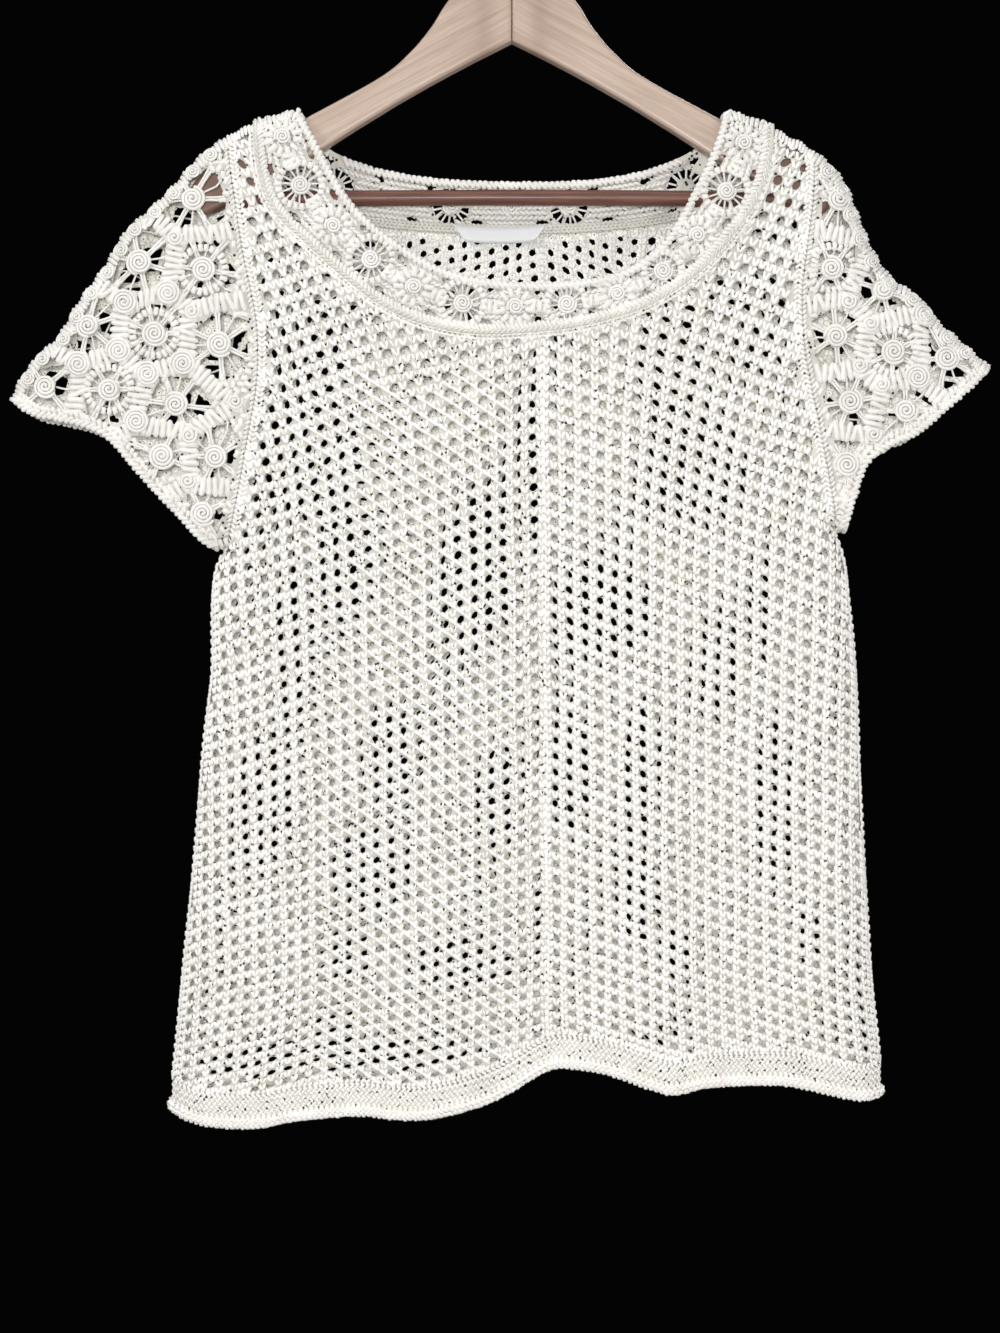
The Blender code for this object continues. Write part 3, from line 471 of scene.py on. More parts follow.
def slab(name, outer, inner, tris):
    """A closed sheet between two faces that share their triangles."""
    n = len(outer)
    ways = {(t[i], t[(i + 1) % 3]) for t in tris.tolist() for i in range(3)}
    rim = np.array([(i, j) for i, j in ways if (j, i) not in ways])
    i, j = rim.T
    sides = np.vstack([np.stack([j, i, n + i], axis=1), np.stack([j, n + i, n + j], axis=1)])
    piece = Piece(name)
    piece.add(np.vstack([outer, inner]), np.vstack([tris, n + tris[:, ::-1], sides]))
    return piece


def core(name, loops, side):
    """The thin closed sheet under the yarn of a cloth piece: a loop, less those after it."""
    edges = []
    for loop in loops:
        start, n = len(edges), len(loop)
        edges += [(start + i, start + (i + 1) % n) for i in range(n)]
    out = delaunay_2d_cdt([Vector(p) for p in np.vstack(loops)], edges, [], 0, 1e-5)
    flat = np.array([tuple(v) for v in out[0]])
    tris = np.array([tuple(f) for f in out[2]])
    tris = tris[inside(flat[tris].mean(axis=1), loops)]
    used, tris = np.unique(tris, return_inverse=True)
    flat, tris = flat[used], tris.reshape(-1, 3)
    (x1, z1), (x2, z2), (x3, z3) = (flat[tris[:, k]].T for k in range(3))
    area = (x2 - x1) * (z3 - z1) - (z2 - z1) * (x3 - x1)
    tris = np.where((area * side > 0)[:, None], tris[:, ::-1], tris)
    place, normal = surface(flat, side, 1.0)
    return slab(name, place + CORE_TOP * normal, place + (CORE_TOP - CORE_THICK) * normal, tris)


# ---------------------------------------------------------------- yarn
# Forms of a strand: places along it with the size there, and the number of sides.
GRAIN = ([(-0.6, 0.95), (0.6, 0.95)], 4)
PLAIN_GRAIN = ([(-0.6, 0.95), (0.6, 0.95)], 3)
RIB = ([(-0.93, 0.6), (-0.64, 1.06), (0.0, 0.86), (0.64, 1.06), (0.93, 0.6)], 5)


def strands(piece, a, b, normal, width, height, shape=GRAIN, arch=0.0):
    """Short closed strands of yarn between the points a and b, all at once."""
    rings, sides = shape
    along, middle = (b - a) / 2, (a + b) / 2
    across = unit(np.cross(along, normal))
    up = unit(np.cross(across, along))
    width, height = (np.reshape(np.broadcast_to(size, len(a)), (-1, 1)) / 2
                     for size in (width, height))
    points = [a]
    for t, size in rings:
        centre = middle + t * along + arch * (1 - t * t) * up
        for s in range(sides):
            turn = 2 * pi * s / sides + pi / 2
            points.append(centre + size * (width * cos(turn) * across
                                           + height * sin(turn) * up))
    points = np.stack(points + [b], axis=1)
    offsets = np.arange(len(a)) * points.shape[1]
    piece.add(points, ring_tris(len(rings), sides)[None] + offsets[:, None, None])


def laid(piece, middle, half, side, lift, width, height, shape=GRAIN, arch=0.0):
    """Strands on the cloth that reach by half to either side of their flat middles."""
    a, normal = lifted(middle - half, side, lift)
    b, _ = lifted(middle + half, side, lift)
    strands(piece, a, b, normal, width, height, shape, arch)


def tube(piece, path, normals, radius, sides=6):
    """A closed tube of yarn along points of the cloth."""
    path = np.asarray(path, float)
    ahead = unit(np.gradient(path, axis=0))
    across = unit(np.cross(ahead, normals))
    up = np.cross(across, ahead)
    radius = np.broadcast_to(radius, len(path))[:, None]
    turns = np.arange(sides) * 2 * pi / sides
    rings = [path + radius * (cos(t) * across + sin(t) * up) for t in turns]
    body = np.stack(rings, axis=1).reshape(-1, 3)
    ends = [path[0] - 0.4 * radius[0] * ahead[0], path[-1] + 0.4 * radius[-1] * ahead[-1]]
    piece.add(np.vstack([ends[0], body, ends[1]]), ring_tris(len(path), sides))


def on_cloth_tube(piece, flat, side, radius, lift=MIDDLE, sides=6):
    path, normals = lifted(flat, side, lift)
    tube(piece, path, normals, radius, sides)


def coil(piece, middle, size, side, cord=COIL_CORD, dome=1.4, lift=0.0, turn=0.0):
    """A cord wound flat in a spiral, higher in its middle."""
    rounds = (size - 1.5 * cord) / (2.0 * cord)
    count = max(10, int(rounds * 15))
    share = np.linspace(0, 1, count) ** 0.62
    radius = 0.5 * cord + (size - 1.5 * cord) * share
    flat = polar(np.asarray(middle, float), radius, 2 * pi * rounds * share + turn)
    high = lift + dome * (1 - (radius / size) ** 2)
    on_cloth_tube(piece, flat, side, cord, high, 5)


def chain(piece, line, side, offset, step=3.3, long=4.6, wide=2.3, slant=0.35, lift=MIDDLE):
    """A row of slanting stitches along a line of the cloth."""
    line = spaced(line, step)
    ahead, across = ahead_and_left(line)
    middle = line + offset * across
    half = long / 2 * unit(ahead + slant * across)
    keep = inside(middle - half, [WHOLE]) & inside(middle + half, [WHOLE])
    laid(piece, middle[keep], half[keep], side, lift, wide, 2.3)


def lay_ribs(piece, middles, ways, side, long, wide, lift=-0.2, high=3.2, arch=0.6, loose=0.1):
    """Fat strands over the cloth, each a little off its place, length and direction."""
    if not len(middles):
        return
    turn = RNG.normal(0, loose, len(middles))[:, None]
    ways = ways * np.cos(turn) + np.stack([-ways[:, 1], ways[:, 0]], axis=1) * np.sin(turn)
    half = (long / 2 * RNG.uniform(0.88, 1.1, len(middles)))[:, None]
    lift = lift + RNG.uniform(-0.3, 0.3, len(middles))
    size = RNG.uniform(0.92, 1.1, len(middles))
    laid(piece, middles, half * ways, side, lift - 0.5, wide * size, high, RIB, arch)


def rib_ring(piece, middle, radius, count, start, side, *form):
    """Ribs that stand round a middle like rays."""
    ways = polar(0.0, 1.0, start + np.arange(count) * 2 * pi / count)
    lay_ribs(piece, middle + radius * ways, ways, side, *form)


def fold_ribs(piece, line, depth=8.0, radius=1.8, step=3.2, bump=1.5, period=15.0):
    """Ribs that pass over a folded edge from the front to the back, in rounded bumps."""
    line = spaced(line, step)
    ahead, across = ahead_and_left(line)
    into = turned_into(WHOLE, across, line)
    shares = np.array([1.0, 0.6, 0.28, 0.08])
    for i, (p, d) in enumerate(zip(line, into)):
        out = bump * sin(pi * i * step / period) ** 2 - 1.1
        slant = 1.2 * ahead[i]
        front, n_front = lifted([p + depth * s * d + slant * s for s in shares], -1, out)
        back, n_back = lifted([p + depth * s * d - slant * s for s in shares[::-1]], 1, out)
        tube(piece, np.vstack([front, back]), np.vstack([n_front, n_back]),
             radius * np.array([0.7, 1, 1, 1, 1, 1, 1, 0.7]), 5)


def fold_chain(piece, line, step=3.0):
    """Slanting stitches on a folded edge, half on the front and half on the back."""
    line = spaced(line, step)
    ahead, across = ahead_and_left(line)
    out = -turned_into(WHOLE, -across, line)
    places = line + (0.9 * np.sin(np.arange(len(line)) * 1.5) ** 2 - 1.0)[:, None] * out
    x, z = places.T
    half = np.insert(2.4 * ahead, 1, 1.1, axis=1)
    middle = np.stack([x, 0 * x, z], axis=1)
    strands(piece, middle - half, middle + half, np.insert(out, 1, 0.0, axis=1), 2.5, 2.5)


# ---------------------------------------------------------------- outlines of the pieces
def hem_top(x):
    line = smooth(HEM_LINE, 4)
    return np.interp(x, line[:, 0], line[:, 1]) + HEM_DEPTH


def side_to_hem(side_line):
    line = smooth(side_line, 1)
    above = line[line[:, 1] > hem_top(line[:, 0])]
    foot = np.array([above[-1, 0], hem_top(above[-1, 0])])
    return np.vstack([spaced(above[:-1], 8), foot])


def panel_loop(neck):
    left, right = side_to_hem(SIDE_LEFT), side_to_hem(SIDE_RIGHT)
    x = np.linspace(left[-1, 0], right[-1, 0], 80)
    neck = smooth(neck, 6)
    shoulders = [spaced(line, 6) for line in
                 on_shoulders((neck[0], neck[-1]), (ARMHOLE_LEFT[0], ARMHOLE_RIGHT[0]))]
    loop = loop_of(left, np.stack([x, hem_top(x)], axis=1), right[::-1],
                   smooth(ARMHOLE_RIGHT, 6)[::-1], shoulders[1][::-1], neck[::-1],
                   shoulders[0], smooth(ARMHOLE_LEFT, 6))
    return inset(loop, GAP / 2)


# ---------------------------------------------------------------- body net
NET_Z = np.arange(-150.0, -862.0, -1.0)
NET_B = np.concatenate([[0], np.cumsum(1.0 / np.array(table(NET_PITCH, NET_Z[:-1])[1]))])


def net_points(a, b, side):
    """Flat points of the net. a counts columns from the middle rib, b rows down."""
    a, b = np.broadcast_arrays(np.asarray(a, float), np.asarray(b, float))
    return net_behind(a, b) if side > 0 else net_ahead(a, b)


def net_ahead(a, b, upright=0.0):
    """The same at the front. With upright, the columns of the yoke lose their lean."""
    far = np.abs(a)
    drop = np.where(a < 0, DROP_LEFT, DROP_RIGHT)
    z = np.interp(b + drop * far, NET_B, NET_Z)
    z = z + 1.2 * np.sin(a * 0.55 + 0.9) * np.sin(b * 0.21 + a * 0.1)
    pitch, _ = table(NET_PITCH, z)
    middle, = table(NET_MIDDLE, z)
    spread = np.clip((far - 2) / 9, 0, 1)
    lean = LEAN_TOP * np.clip((z - LEAN_FROM) / LEAN_OVER, 0, 1.2) ** 2 * spread ** 2
    lean = lean * (1 - upright * np.clip((z - NECK_ZONE) / EASE, 0, 1))
    arc = np.maximum(far - NET_CENTRE, 0) * pitch + lean * (3 - 2 * spread)
    arc = arc + 0.5 * np.sin(b * 0.5 + 1.7 * a)
    edge = np.where(a < 0, middle - side_x(SIDE_LEFT, z), side_x(SIDE_RIGHT, z) - middle)
    past = np.clip((arc - (edge - FOLD_WIDTH)) / FOLD_ARC, 0, 1)
    turned = edge - FOLD_WIDTH + FOLD_WIDTH * np.sin(past * pi / 2)
    t = np.clip((TURN_FROM - z) / TURN_EASE, 0, 1)
    blend = t * t * (3 - 2 * t)
    flat = np.where(arc > edge - FOLD_WIDTH, (1 - blend) * arc + blend * turned, arc)
    flat = np.where((arc > edge - FOLD_WIDTH + FOLD_ARC) & (blend > 0.5), edge + 5, flat)
    return np.stack([middle + np.sign(a) * flat, z], axis=-1)


def net_behind(a, b):
    """The same at the back: out of step by up to half a column, but for the clear patches.

    Below the back neck the net is finer.
    """
    x, z = np.moveaxis(net_ahead(a, b), -1, 0)
    near = np.array([np.exp(-((x - px) / wide) ** 2 - ((z - pz) / high) ** 2)
                     for px, pz, wide, high in CLEAR_PATCHES])
    own = 1 - np.clip(2.5 * near.max(axis=0), 0, 1)
    own = own * (1 - np.clip((z - NECK_ZONE) / EASE, 0, 1))
    shift = own * (0.39 + 0.17 * np.sin(b * 0.31 + a * 0.7))
    points = net_ahead(a + shift, b + 0.25 * own * np.sin(a * 0.42 + b * 0.16), 1.0)
    x, z = np.moveaxis(points, -1, 0)
    above = np.maximum(z - NECK_ZONE, 0)
    finer = np.clip((FINER_WITHIN - np.abs(x)) / FINER_EASE, 0, 1)
    x = x - FINER[0] * finer * np.clip(above / EASE, 0, 1) * (x - NET_MIDDLE[0][1])
    z = z - FINER[1] * finer * above
    inward = np.minimum(x - side_x(SIDE_LEFT, z), side_x(SIDE_RIGHT, z) - x) / FOLD_WIDTH
    inward = np.where(z < LEAN_FROM, np.clip(inward, 0, 1), 1)
    return np.stack([x + BEHIND * (x - EYE[0]) * inward, z + BEHIND * (z - EYE[1])], axis=-1)


def net_cells(loop, side):
    """Columns and rows of the net, and the outlines of the holes that fit in the loop."""
    columns = np.concatenate([np.arange(-NET_COLUMNS, 0), np.arange(1, NET_COLUMNS + 1)])
    a, b = (v.ravel() for v in np.meshgrid(columns, np.arange(-8, NET_ROWS), indexing="ij"))
    middle = net_points(a, b, side)
    keep = inside(middle, [loop])
    a, b, middle = a[keep], b[keep], middle[keep]
    half_wide, half_high = table(NET_HOLE, middle[:, 1])
    if side > 0:
        low = np.clip((LOW_FROM - middle[:, 1]) / LOW_EASE, 0, 1)
        half_wide, half_high = half_wide + LOW_MORE[0] * low, half_high + LOW_MORE[1] * low
    pitch_x, pitch_z = table(NET_PITCH, middle[:, 1])
    size = RNG.uniform(0.84, 1.1, (2, len(a)))
    skew = RNG.uniform(-0.06, 0.06, len(a))
    count = HOLE_CORNERS[side]
    corners = []
    for k in range(count):
        turn = 2 * pi * (k + 0.5) / count
        wide, high = cos(turn), sin(turn)
        corners.append(net_points(a + size[0] * half_wide / pitch_x * wide + skew * high,
                                  b - size[1] * half_high / pitch_z * high, side))
    corners = np.stack(corners, axis=1)
    flat = corners.reshape(-1, 2)
    clear = nearest(flat, closed(loop))[0].reshape(-1, count).min(axis=1) > HOLE_MARGIN
    return a, b, corners, clear & inside(flat, [loop]).reshape(-1, count).all(axis=1)


def vees(piece, a, b, loop, side, ridge=False, lift=-0.9):
    """Stitches of two legs that meet below, at the columns a and rows b of the net.

    With ridge, between the middle and the side, the legs that fall to the right are longer
    and join into slanting ridges.
    """
    slanted = ridge & (np.abs(a) > RIDGES[0]) & (np.abs(a) < RIDGES[1])
    slanted &= net_points(a, b, side)[:, 1] < RIDGES_BELOW + 14 * np.sin(a)
    for leg in (-1, 1):
        long = slanted if leg < 0 else np.zeros(len(a), bool)
        top = net_points(a + np.where(long, -0.31, 0.205 * leg),
                         b - np.where(long, 0.33, 0.29), side)
        foot = net_points(a + np.where(long, 0.28, 0.02 * leg),
                          b + np.where(long, 0.31, 0.24), side)
        keep = inside(top, [loop]) & inside(foot, [loop])
        size = RNG.uniform(0.84, 1.16, keep.sum())
        high = lift + np.where(long, 0.3, -0.2 * slanted)[keep] + RNG.uniform(-0.3, 0.3, keep.sum())
        start, normal = lifted(top[keep], side, high + 0.1)
        end, _ = lifted(foot[keep], side, high - 0.3)
        wide = np.where(long, 2.8, 2.6)[keep]
        strands(piece, start, end, normal, wide * size, 2.2, GRAIN if side < 0 else PLAIN_GRAIN)


def net_panel(name, side, neck):
    """The core of a panel, and the yarn of its left half, right half and edges."""
    loop = panel_loop(neck)
    a, b, corners, fits = net_cells(loop, side)
    sheet = core(name + "_net", [loop] + list(corners[fits]), side)
    yarns = []
    for word, way in (("left", -1), ("right", 1)):
        yarn = Piece(f"{name}_stitches_{word}")
        mine = a * way > 0
        m, j = a[mine].astype(float), b[mine].astype(float)
        ridge = way < 0 and side < 0
        vees(yarn, m - 0.5 * way, j, loop, side, ridge)
        vees(yarn, m - 0.5 * way, j + 0.5, loop, side, False, -1.5 if ridge else -1.0)
        vees(yarn, m, j + 0.5, loop, side, ridge)
        shut = ~fits[mine]
        vees(yarn, m[shut], j[shut], loop, side, ridge)
        if side > 0:
            first = m == 1
            for up in (0, 0.5):
                vees(yarn, m[first] - 1.0, j[first] + up, loop, side)
            seen = net_points(m, j, side)[:, 1] > SEEN_FROM
            for da, db in ((-0.5 * way, 0), (-0.5 * way, 0.5), (0, 0.5)):
                vees(yarn, m[seen] + da, j[seen] + db, loop, side, False, -2.0)
        yarns.append(yarn)
    edges = Piece(name + "_edges")
    for line, way in ((smooth(ARMHOLE_LEFT, 2), 1), (smooth(ARMHOLE_RIGHT, 2), -1)):
        chain(edges, line, side, 1.6 * way, slant=0.8, lift=-1.0)
        chain(edges, line, side, 4.4 * way, slant=-0.8, lift=-1.5)
    foot = loop[np.abs(loop[:, 1] - hem_top(loop[:, 0])) < 1.0]
    foot = foot[np.argsort(foot[:, 0])]
    chain(edges, foot, side, 0.4, 3.4, 3.7, 2.4, -1.0, -0.9)
    chain(edges, foot, side, 2.6, 3.4, 3.7, 2.4, 1.0, -0.9)
    collar = smooth(neck, 2)
    chain(edges, collar, side, -1.5, lift=-0.8)
    chain(edges, collar, side, -4.0, slant=-0.35, lift=-0.9)
    if side < 0:
        for line in (SIDE_LEFT, SIDE_RIGHT):
            fold_chain(edges, side_to_hem(line))
        for line in on_shoulders((NECK_FRONT_OUTER[0], NECK_FRONT_OUTER[-1]),
                                 (ARMHOLE_LEFT[0], ARMHOLE_RIGHT[0])):
            fold_ribs(edges, line, 7.0, 1.3, 2.6)
    return sheet, yarns + [edges]


# ---------------------------------------------------------------- lace
def reach(c, others, edge, angle, band=BAND_HALF):
    """How far a gap may reach from a motif's middle in a direction."""
    d = np.array([cos(angle), sin(angle)])
    best = LONGEST_REACH
    for other in others:
        apart = np.linalg.norm(other - c)
        towards = float(d @ (other - c)) / apart
        if towards > 0.1:
            best = min(best, (apart / 2 - band) / towards)
    for p, q in zip(edge, np.roll(edge, -1, axis=0)):
        e = q - p
        cross = d[0] * e[1] - d[1] * e[0]
        if abs(cross) > 1e-9:
            far = ((p - c)[0] * e[1] - (p - c)[1] * e[0]) / cross
            share = ((p - c)[0] * d[1] - (p - c)[1] * d[0]) / cross
            if far > 0 and 0 <= share <= 1:
                best = min(best, far)
    return best


def gaps_round(c, others, edge, bars, turn):
    """The gaps between the bars that run from a motif's hub to its bands."""
    gaps = []
    inner = HUB_RADIUS + 0.6
    for k in range(bars):
        a, b = (turn + 2 * pi * (k + s) / bars for s in (0, 1))
        spread = (b - a) * 0.5
        far = [reach(c, others, edge, a + spread * s) for s in (0.3, 1.0, 1.7)]
        if min(far[1], (far[0] + far[2]) / 2) - inner < MIN_GAP:
            continue
        near = BAR_NARROW / inner
        corners = [(a + near, inner), (b - near, inner)]
        outer = [(1.8, far[2]), (1.0, far[1]), (0.2, far[0])]
        if far[1] < 1.15 * max(far[0], far[2]):
            del outer[1]
        for share, length in outer:
            length = min(max(length, inner + MIN_GAP / 3), inner + MAX_GAP)
            corners.append((a + spread * share, length))
        gaps.append(np.array([polar(c, r, t) for t, r in corners]))
    return gaps


def band_ribs(places, loop):
    """Middles and directions of the ribs on the lines midway between motifs."""
    middles, ways = [], []
    margin = closed(loop)
    for i, c in enumerate(places):
        for other in places[:i]:
            apart = np.linalg.norm(other - c)
            if apart > BANDED_APART:
                continue
            way = (other - c) / apart
            along = np.array([-way[1], way[0]])
            spots = (c + other) / 2 + np.arange(-33, 34, RIB_STEP)[:, None] * along
            bow = 1.5 * np.cos(np.arange(len(spots)) * 0.45 + i)[:, None] * way
            ranked = np.sort(np.linalg.norm(places[None] - spots[:, None], axis=2), axis=1)
            own = np.linalg.norm(spots - c, axis=1)
            good = (own < ranked[:, 0] + 0.5) & (ranked[:, 2] > own + 0.3)
            good &= inside(spots, [loop])
            good &= nearest(spots, margin)[0] > 4.0
            middles += list((spots + bow)[good])
            ways += [way] * int(good.sum())
    return np.array(middles), np.array(ways)


def junctions(places, loop):
    """Points as far from three motifs and further from all others."""
    found = []
    n = len(places)
    for i, j, k in ((i, j, k) for i in range(n) for j in range(i) for k in range(j)):
        rows = np.array([places[j] - places[i], places[k] - places[i]])
        if abs(np.linalg.det(rows)) < 50:
            continue
        rhs = 0.5 * (np.sum(places[[j, k]] ** 2, axis=1) - np.sum(places[i] ** 2))
        p = np.linalg.solve(rows, rhs)
        far = np.linalg.norm(places - p, axis=1)
        if far.min() > np.linalg.norm(places[i] - p) - 0.1 and far.min() < 40:
            found.append(p)
    found = np.array(found)
    found = found[inside(found, [loop])]
    return found[nearest(found, closed(loop))[0] > 5.0]


def motif(yarn, side, c, others, edge, bars, turn, ring):
    """A coiled hub with pairs of bars, single spokes in some gaps, and a ring if asked for."""
    coil(yarn, c, HUB_RADIUS + RNG.uniform(0.9, 2.5), side, turn=turn)
    if bars > 5 and ring:
        angle = turn + np.arange(RING_RIBS) * 2 * pi / RING_RIBS
        radius = np.array([min(RING_RADIUS, reach(c, others, edge, t, BAND_HALF - 2)) for t in angle])
        ways = polar(0.0, 1.0, angle)
        lay_ribs(yarn, c + radius[:, None] * ways, ways, side, 5.6, 3.6, -0.1, 3.2)
    for k in range(2 * bars):
        angle = turn + pi * k / bars
        far = reach(c, others, edge, angle, BAND_HALF - 2.5)
        if far < HUB_RADIUS + 2 or k % 4 == 3:
            continue
        radii = np.linspace(HUB_RADIUS - 0.5, min(far, HUB_RADIUS + MAX_GAP + 2), 4)
        if k % 2:
            flat = polar(c, radii, angle + 0.05 * np.array([1, -0.4, -0.8, 1]))
            on_cloth_tube(yarn, flat, side, SPOKE_RADIUS, -1.1, 5)
            continue
        for way in (-1, 1):
            shift = way * np.array([1.0, 0.85, 0.95, 1.6]) / radii
            on_cloth_tube(yarn, polar(c, radii, angle + shift), side, BAR_RADIUS, -0.7, 5)


def lace_piece(name, side, loop, motifs, turns, cuff, armhole):
    loop = inset(loop, GAP / 2)
    edge = inset(spaced(closed(loop), 6)[:-1], EDGE_HALF)
    places = np.array([m[:2] for m in motifs], float)
    gaps = []
    yarn = Piece(name + "_yarn")
    for i, (spec, turn) in enumerate(zip(motifs, turns)):
        others = np.delete(places, i, axis=0)
        gaps += gaps_round(places[i], others, edge, spec[2], turn)
        motif(yarn, side, places[i], others, edge, spec[2], turn, i % 3 == 1)
    middles, ways = band_ribs(places, loop)
    lay_ribs(yarn, middles, ways, side, RIB_LONG, RIB_WIDE, loose=0.17)
    meetings = junctions(places, loop)
    for p in meetings:
        near = nearest(p[None], armhole)[0][0] < KNOT_NEAR
        coil(yarn, p, KNOT_RADII[0 if near else 1], side, 1.1, 1.2, 0.8)
    covered = np.vstack([places, meetings, middles - 4 * ways, middles, middles + 4 * ways])
    fill_bare(yarn, loop, gaps, covered, side)
    way = 1 if places[:, 0].mean() < 0 else -1
    chain(yarn, armhole, side, -1.6 * way, slant=-0.8, lift=-1.0)
    rim = spaced(cuff, 3.7)[1:-1]
    ahead, across = ahead_and_left(rim)
    inward = turned_into(loop, across, rim)
    lay_ribs(yarn, rim + 2.0 * inward, unit(inward + 1.2 * ahead), side, 7.4, 3.3, 0.3, 4.2)
    lay_ribs(yarn, rim + 6.4 * inward, unit(inward - 0.7 * ahead), side, 5.0, 3.2, -0.6)
    return core(name + "_lace", [loop] + gaps, side), yarn


def fill_bare(yarn, loop, gaps, covered, side):
    """Small knots over whatever of the core no other yarn covers."""
    low, high = loop.min(axis=0), loop.max(axis=0)
    wide, tall = FILL_STEP
    spots = np.array([(x + (z // tall % 2) * wide / 2, z)
                      for z in np.arange(low[1], high[1], tall)
                      for x in np.arange(low[0], high[0], wide)])
    spots = spots[inside(spots, [loop])]
    spots = spots[nearest(spots, closed(loop))[0] > FILL_EDGE]
    for gap in gaps:
        spots = spots[~inside(spots, [inset(gap if area_of(gap) > 0 else gap[::-1], -1.2)])]
    spots = spots[np.linalg.norm(spots[:, None] - covered[None], axis=2).min(axis=1) > FILL_APART]
    turn = RNG.uniform(0, pi, len(spots))
    lay_ribs(yarn, spots, polar(0.0, 1.0, turn), side, 5.6, 3.8, -0.7, 2.8)


def sleeve(name, side, shoulder, cuff, armhole, motifs):
    top = cut_line(smooth(shoulder, 1), armhole[0], shoulder[-1])
    under = np.array([cuff[-1], armhole[-1]], float)
    hem_edge, hole = smooth(cuff, 5), smooth(armhole, 5)
    loop = loop_of(spaced(top, 5), hem_edge, under, hole[::-1])
    if side > 0:
        outward = 1 if armhole[0][0] > 0 else -1
        motifs = [(x - outward * BACK_SHIFT[0], z + BACK_SHIFT[1], n) for x, z, n in motifs]
    turns = [0.9 * i + (0.4 if side > 0 else 0.0) for i in range(len(motifs))]
    sheet, yarn = lace_piece(name, side, loop, motifs, turns, hem_edge, hole)
    if side < 0:
        fold_ribs(yarn, top)
        fold_ribs(yarn, under, 5.0)
    for p in spaced(top, 17.0)[1:-1]:
        coil_on_fold(yarn, p, side)
    return sheet, yarn


def coil_on_fold(yarn, p, side):
    """A small coil just inside a folded edge."""
    spots = p + 6.5 * polar(0.0, 1.0, np.linspace(0, 6.2, 25))
    far = np.where(inside(spots, [WHOLE]), from_fold(spots)[0], -1)
    coil(yarn, spots[int(far.argmax())], 6.2, side, 0.9, 1.3, 0.6)


# ---------------------------------------------------------------- neckband
def band_motif(inner, outer, at):
    """Middle, half width and the direction across the neckband at a share of it."""
    ends = []
    for line in (inner, outer):
        fine = smooth(line, 2)
        ends.append(fine[min(int(at * (len(fine) - 1)), len(fine) - 1)])
    across = ends[1] - ends[0]
    half = np.linalg.norm(across) / 2
    return (ends[0] + ends[1]) / 2, half, across / (2 * half)


def wheel_slot(middle, a, b, rim):
    """The gap between two spokes of a wheel, which stand at the angles a and b."""
    near, far = BAR_NARROW / WHEEL_HUB, BAR_NARROW / rim
    corners = [(a + near, WHEEL_HUB + 1), (b - near, WHEEL_HUB + 1), (b - far, rim),
               ((a + b) / 2, rim + 0.8), (a + far, rim)]
    return np.array([polar(middle, r, t) for t, r in corners])


def wheel(yarn, middle, side, base, rim):
    coil(yarn, middle, WHEEL_HUB + 1.2, side, 0.95, 1.5, 0.2)
    for k in range(WHEEL_SPOKES):
        angle = base + 2 * pi * (k + RNG.uniform(0.35, 0.65)) / WHEEL_SPOKES
        flat = polar(middle, np.linspace(WHEEL_HUB, rim + 0.8, 3), np.full(3, angle))
        on_cloth_tube(yarn, flat, side, SPOKE_RADIUS, -0.7, 4)
    rib_ring(yarn, middle, rim + 1.9, WHEEL_RIBS, base, side, 5.0, 3.7, 0.2, 3.4)


def rosette(yarn, middle, side, base):
    coil(yarn, middle, ROSETTE_HUB, side, 0.95, 1.6, 0.4)
    rib_ring(yarn, middle, ROSETTE_RING, ROSETTE_RIBS, base, side, 7.4, 4.2, 0.0, 3.6)


def neckband(name, side, inner, outer, motifs):
    """Wheels and rosettes in turn, with small gaps and ribs between them."""
    inner_line, outer_line = smooth(inner, 4), smooth(outer, 4)
    shoulders = [spaced(line, 4) for line in on_shoulders((inner_line[0], inner_line[-1]),
                                                          (outer_line[0], outer_line[-1]))]
    loop = loop_of(inner_line, shoulders[1], outer_line[::-1], shoulders[0][::-1])
    loop = inset(loop, GAP / 2)
    yarn = Piece(name + "_yarn")
    gaps = []
    for k in range(motifs):
        middle, half, across = band_motif(inner, outer, (k + 0.5) / motifs)
        base = atan2(across[1], across[0])
        if k % 2:
            rim = min(WHEEL_RIM, half - RIM_WIDTH)
            for s in range(WHEEL_SLOTS):
                a, b = (base + 2 * pi * (s + t) / WHEEL_SLOTS for t in (0.5, 1.5))
                gaps.append(wheel_slot(middle, a, b, rim))
            wheel(yarn, middle, side, base, rim)
        else:
            rosette(yarn, middle, side, base)
        if side > 0 and abs(middle[0]) < SEAM_HALF:
            coil(yarn, middle, WHEEL_HUB + 0.6, side, 0.95, -1.0, -2.2)
        if k:
            between, half, across = band_motif(inner, outer, k / motifs)
            along = np.array([-across[1], across[0]])
            for sign in (-1, 1):
                spot = between + sign * (half - SIDE_GAP_PLACE) * across
                gaps.append(np.array([spot + SIDE_GAP[0] * cos(t) * along
                                      + SIDE_GAP[1] * sin(t) * across
                                      for t in np.linspace(0, 2 * pi, 7)[:-1]]))
            spread = np.arange(-1, 2)[:, None] * RIB_STEP * along
            lay_ribs(yarn, between + spread, np.tile(across, (3, 1)), side, 9.0, RIB_WIDE)
    fill_band(yarn, side, inner_line, outer_line, gaps)
    rope_edge(yarn, side, inner_line, outer_line)
    if side < 0:
        for line in shoulders:
            fold_ribs(yarn, line, 6.5, 1.7, 3.2)
    else:
        fill_band(yarn, side, inner_line, outer_line, gaps, -2.0)
        rope_edge(yarn, side, inner_line, outer_line, -2.2)
    return core(name + "_lace", [loop] + gaps, side), yarn


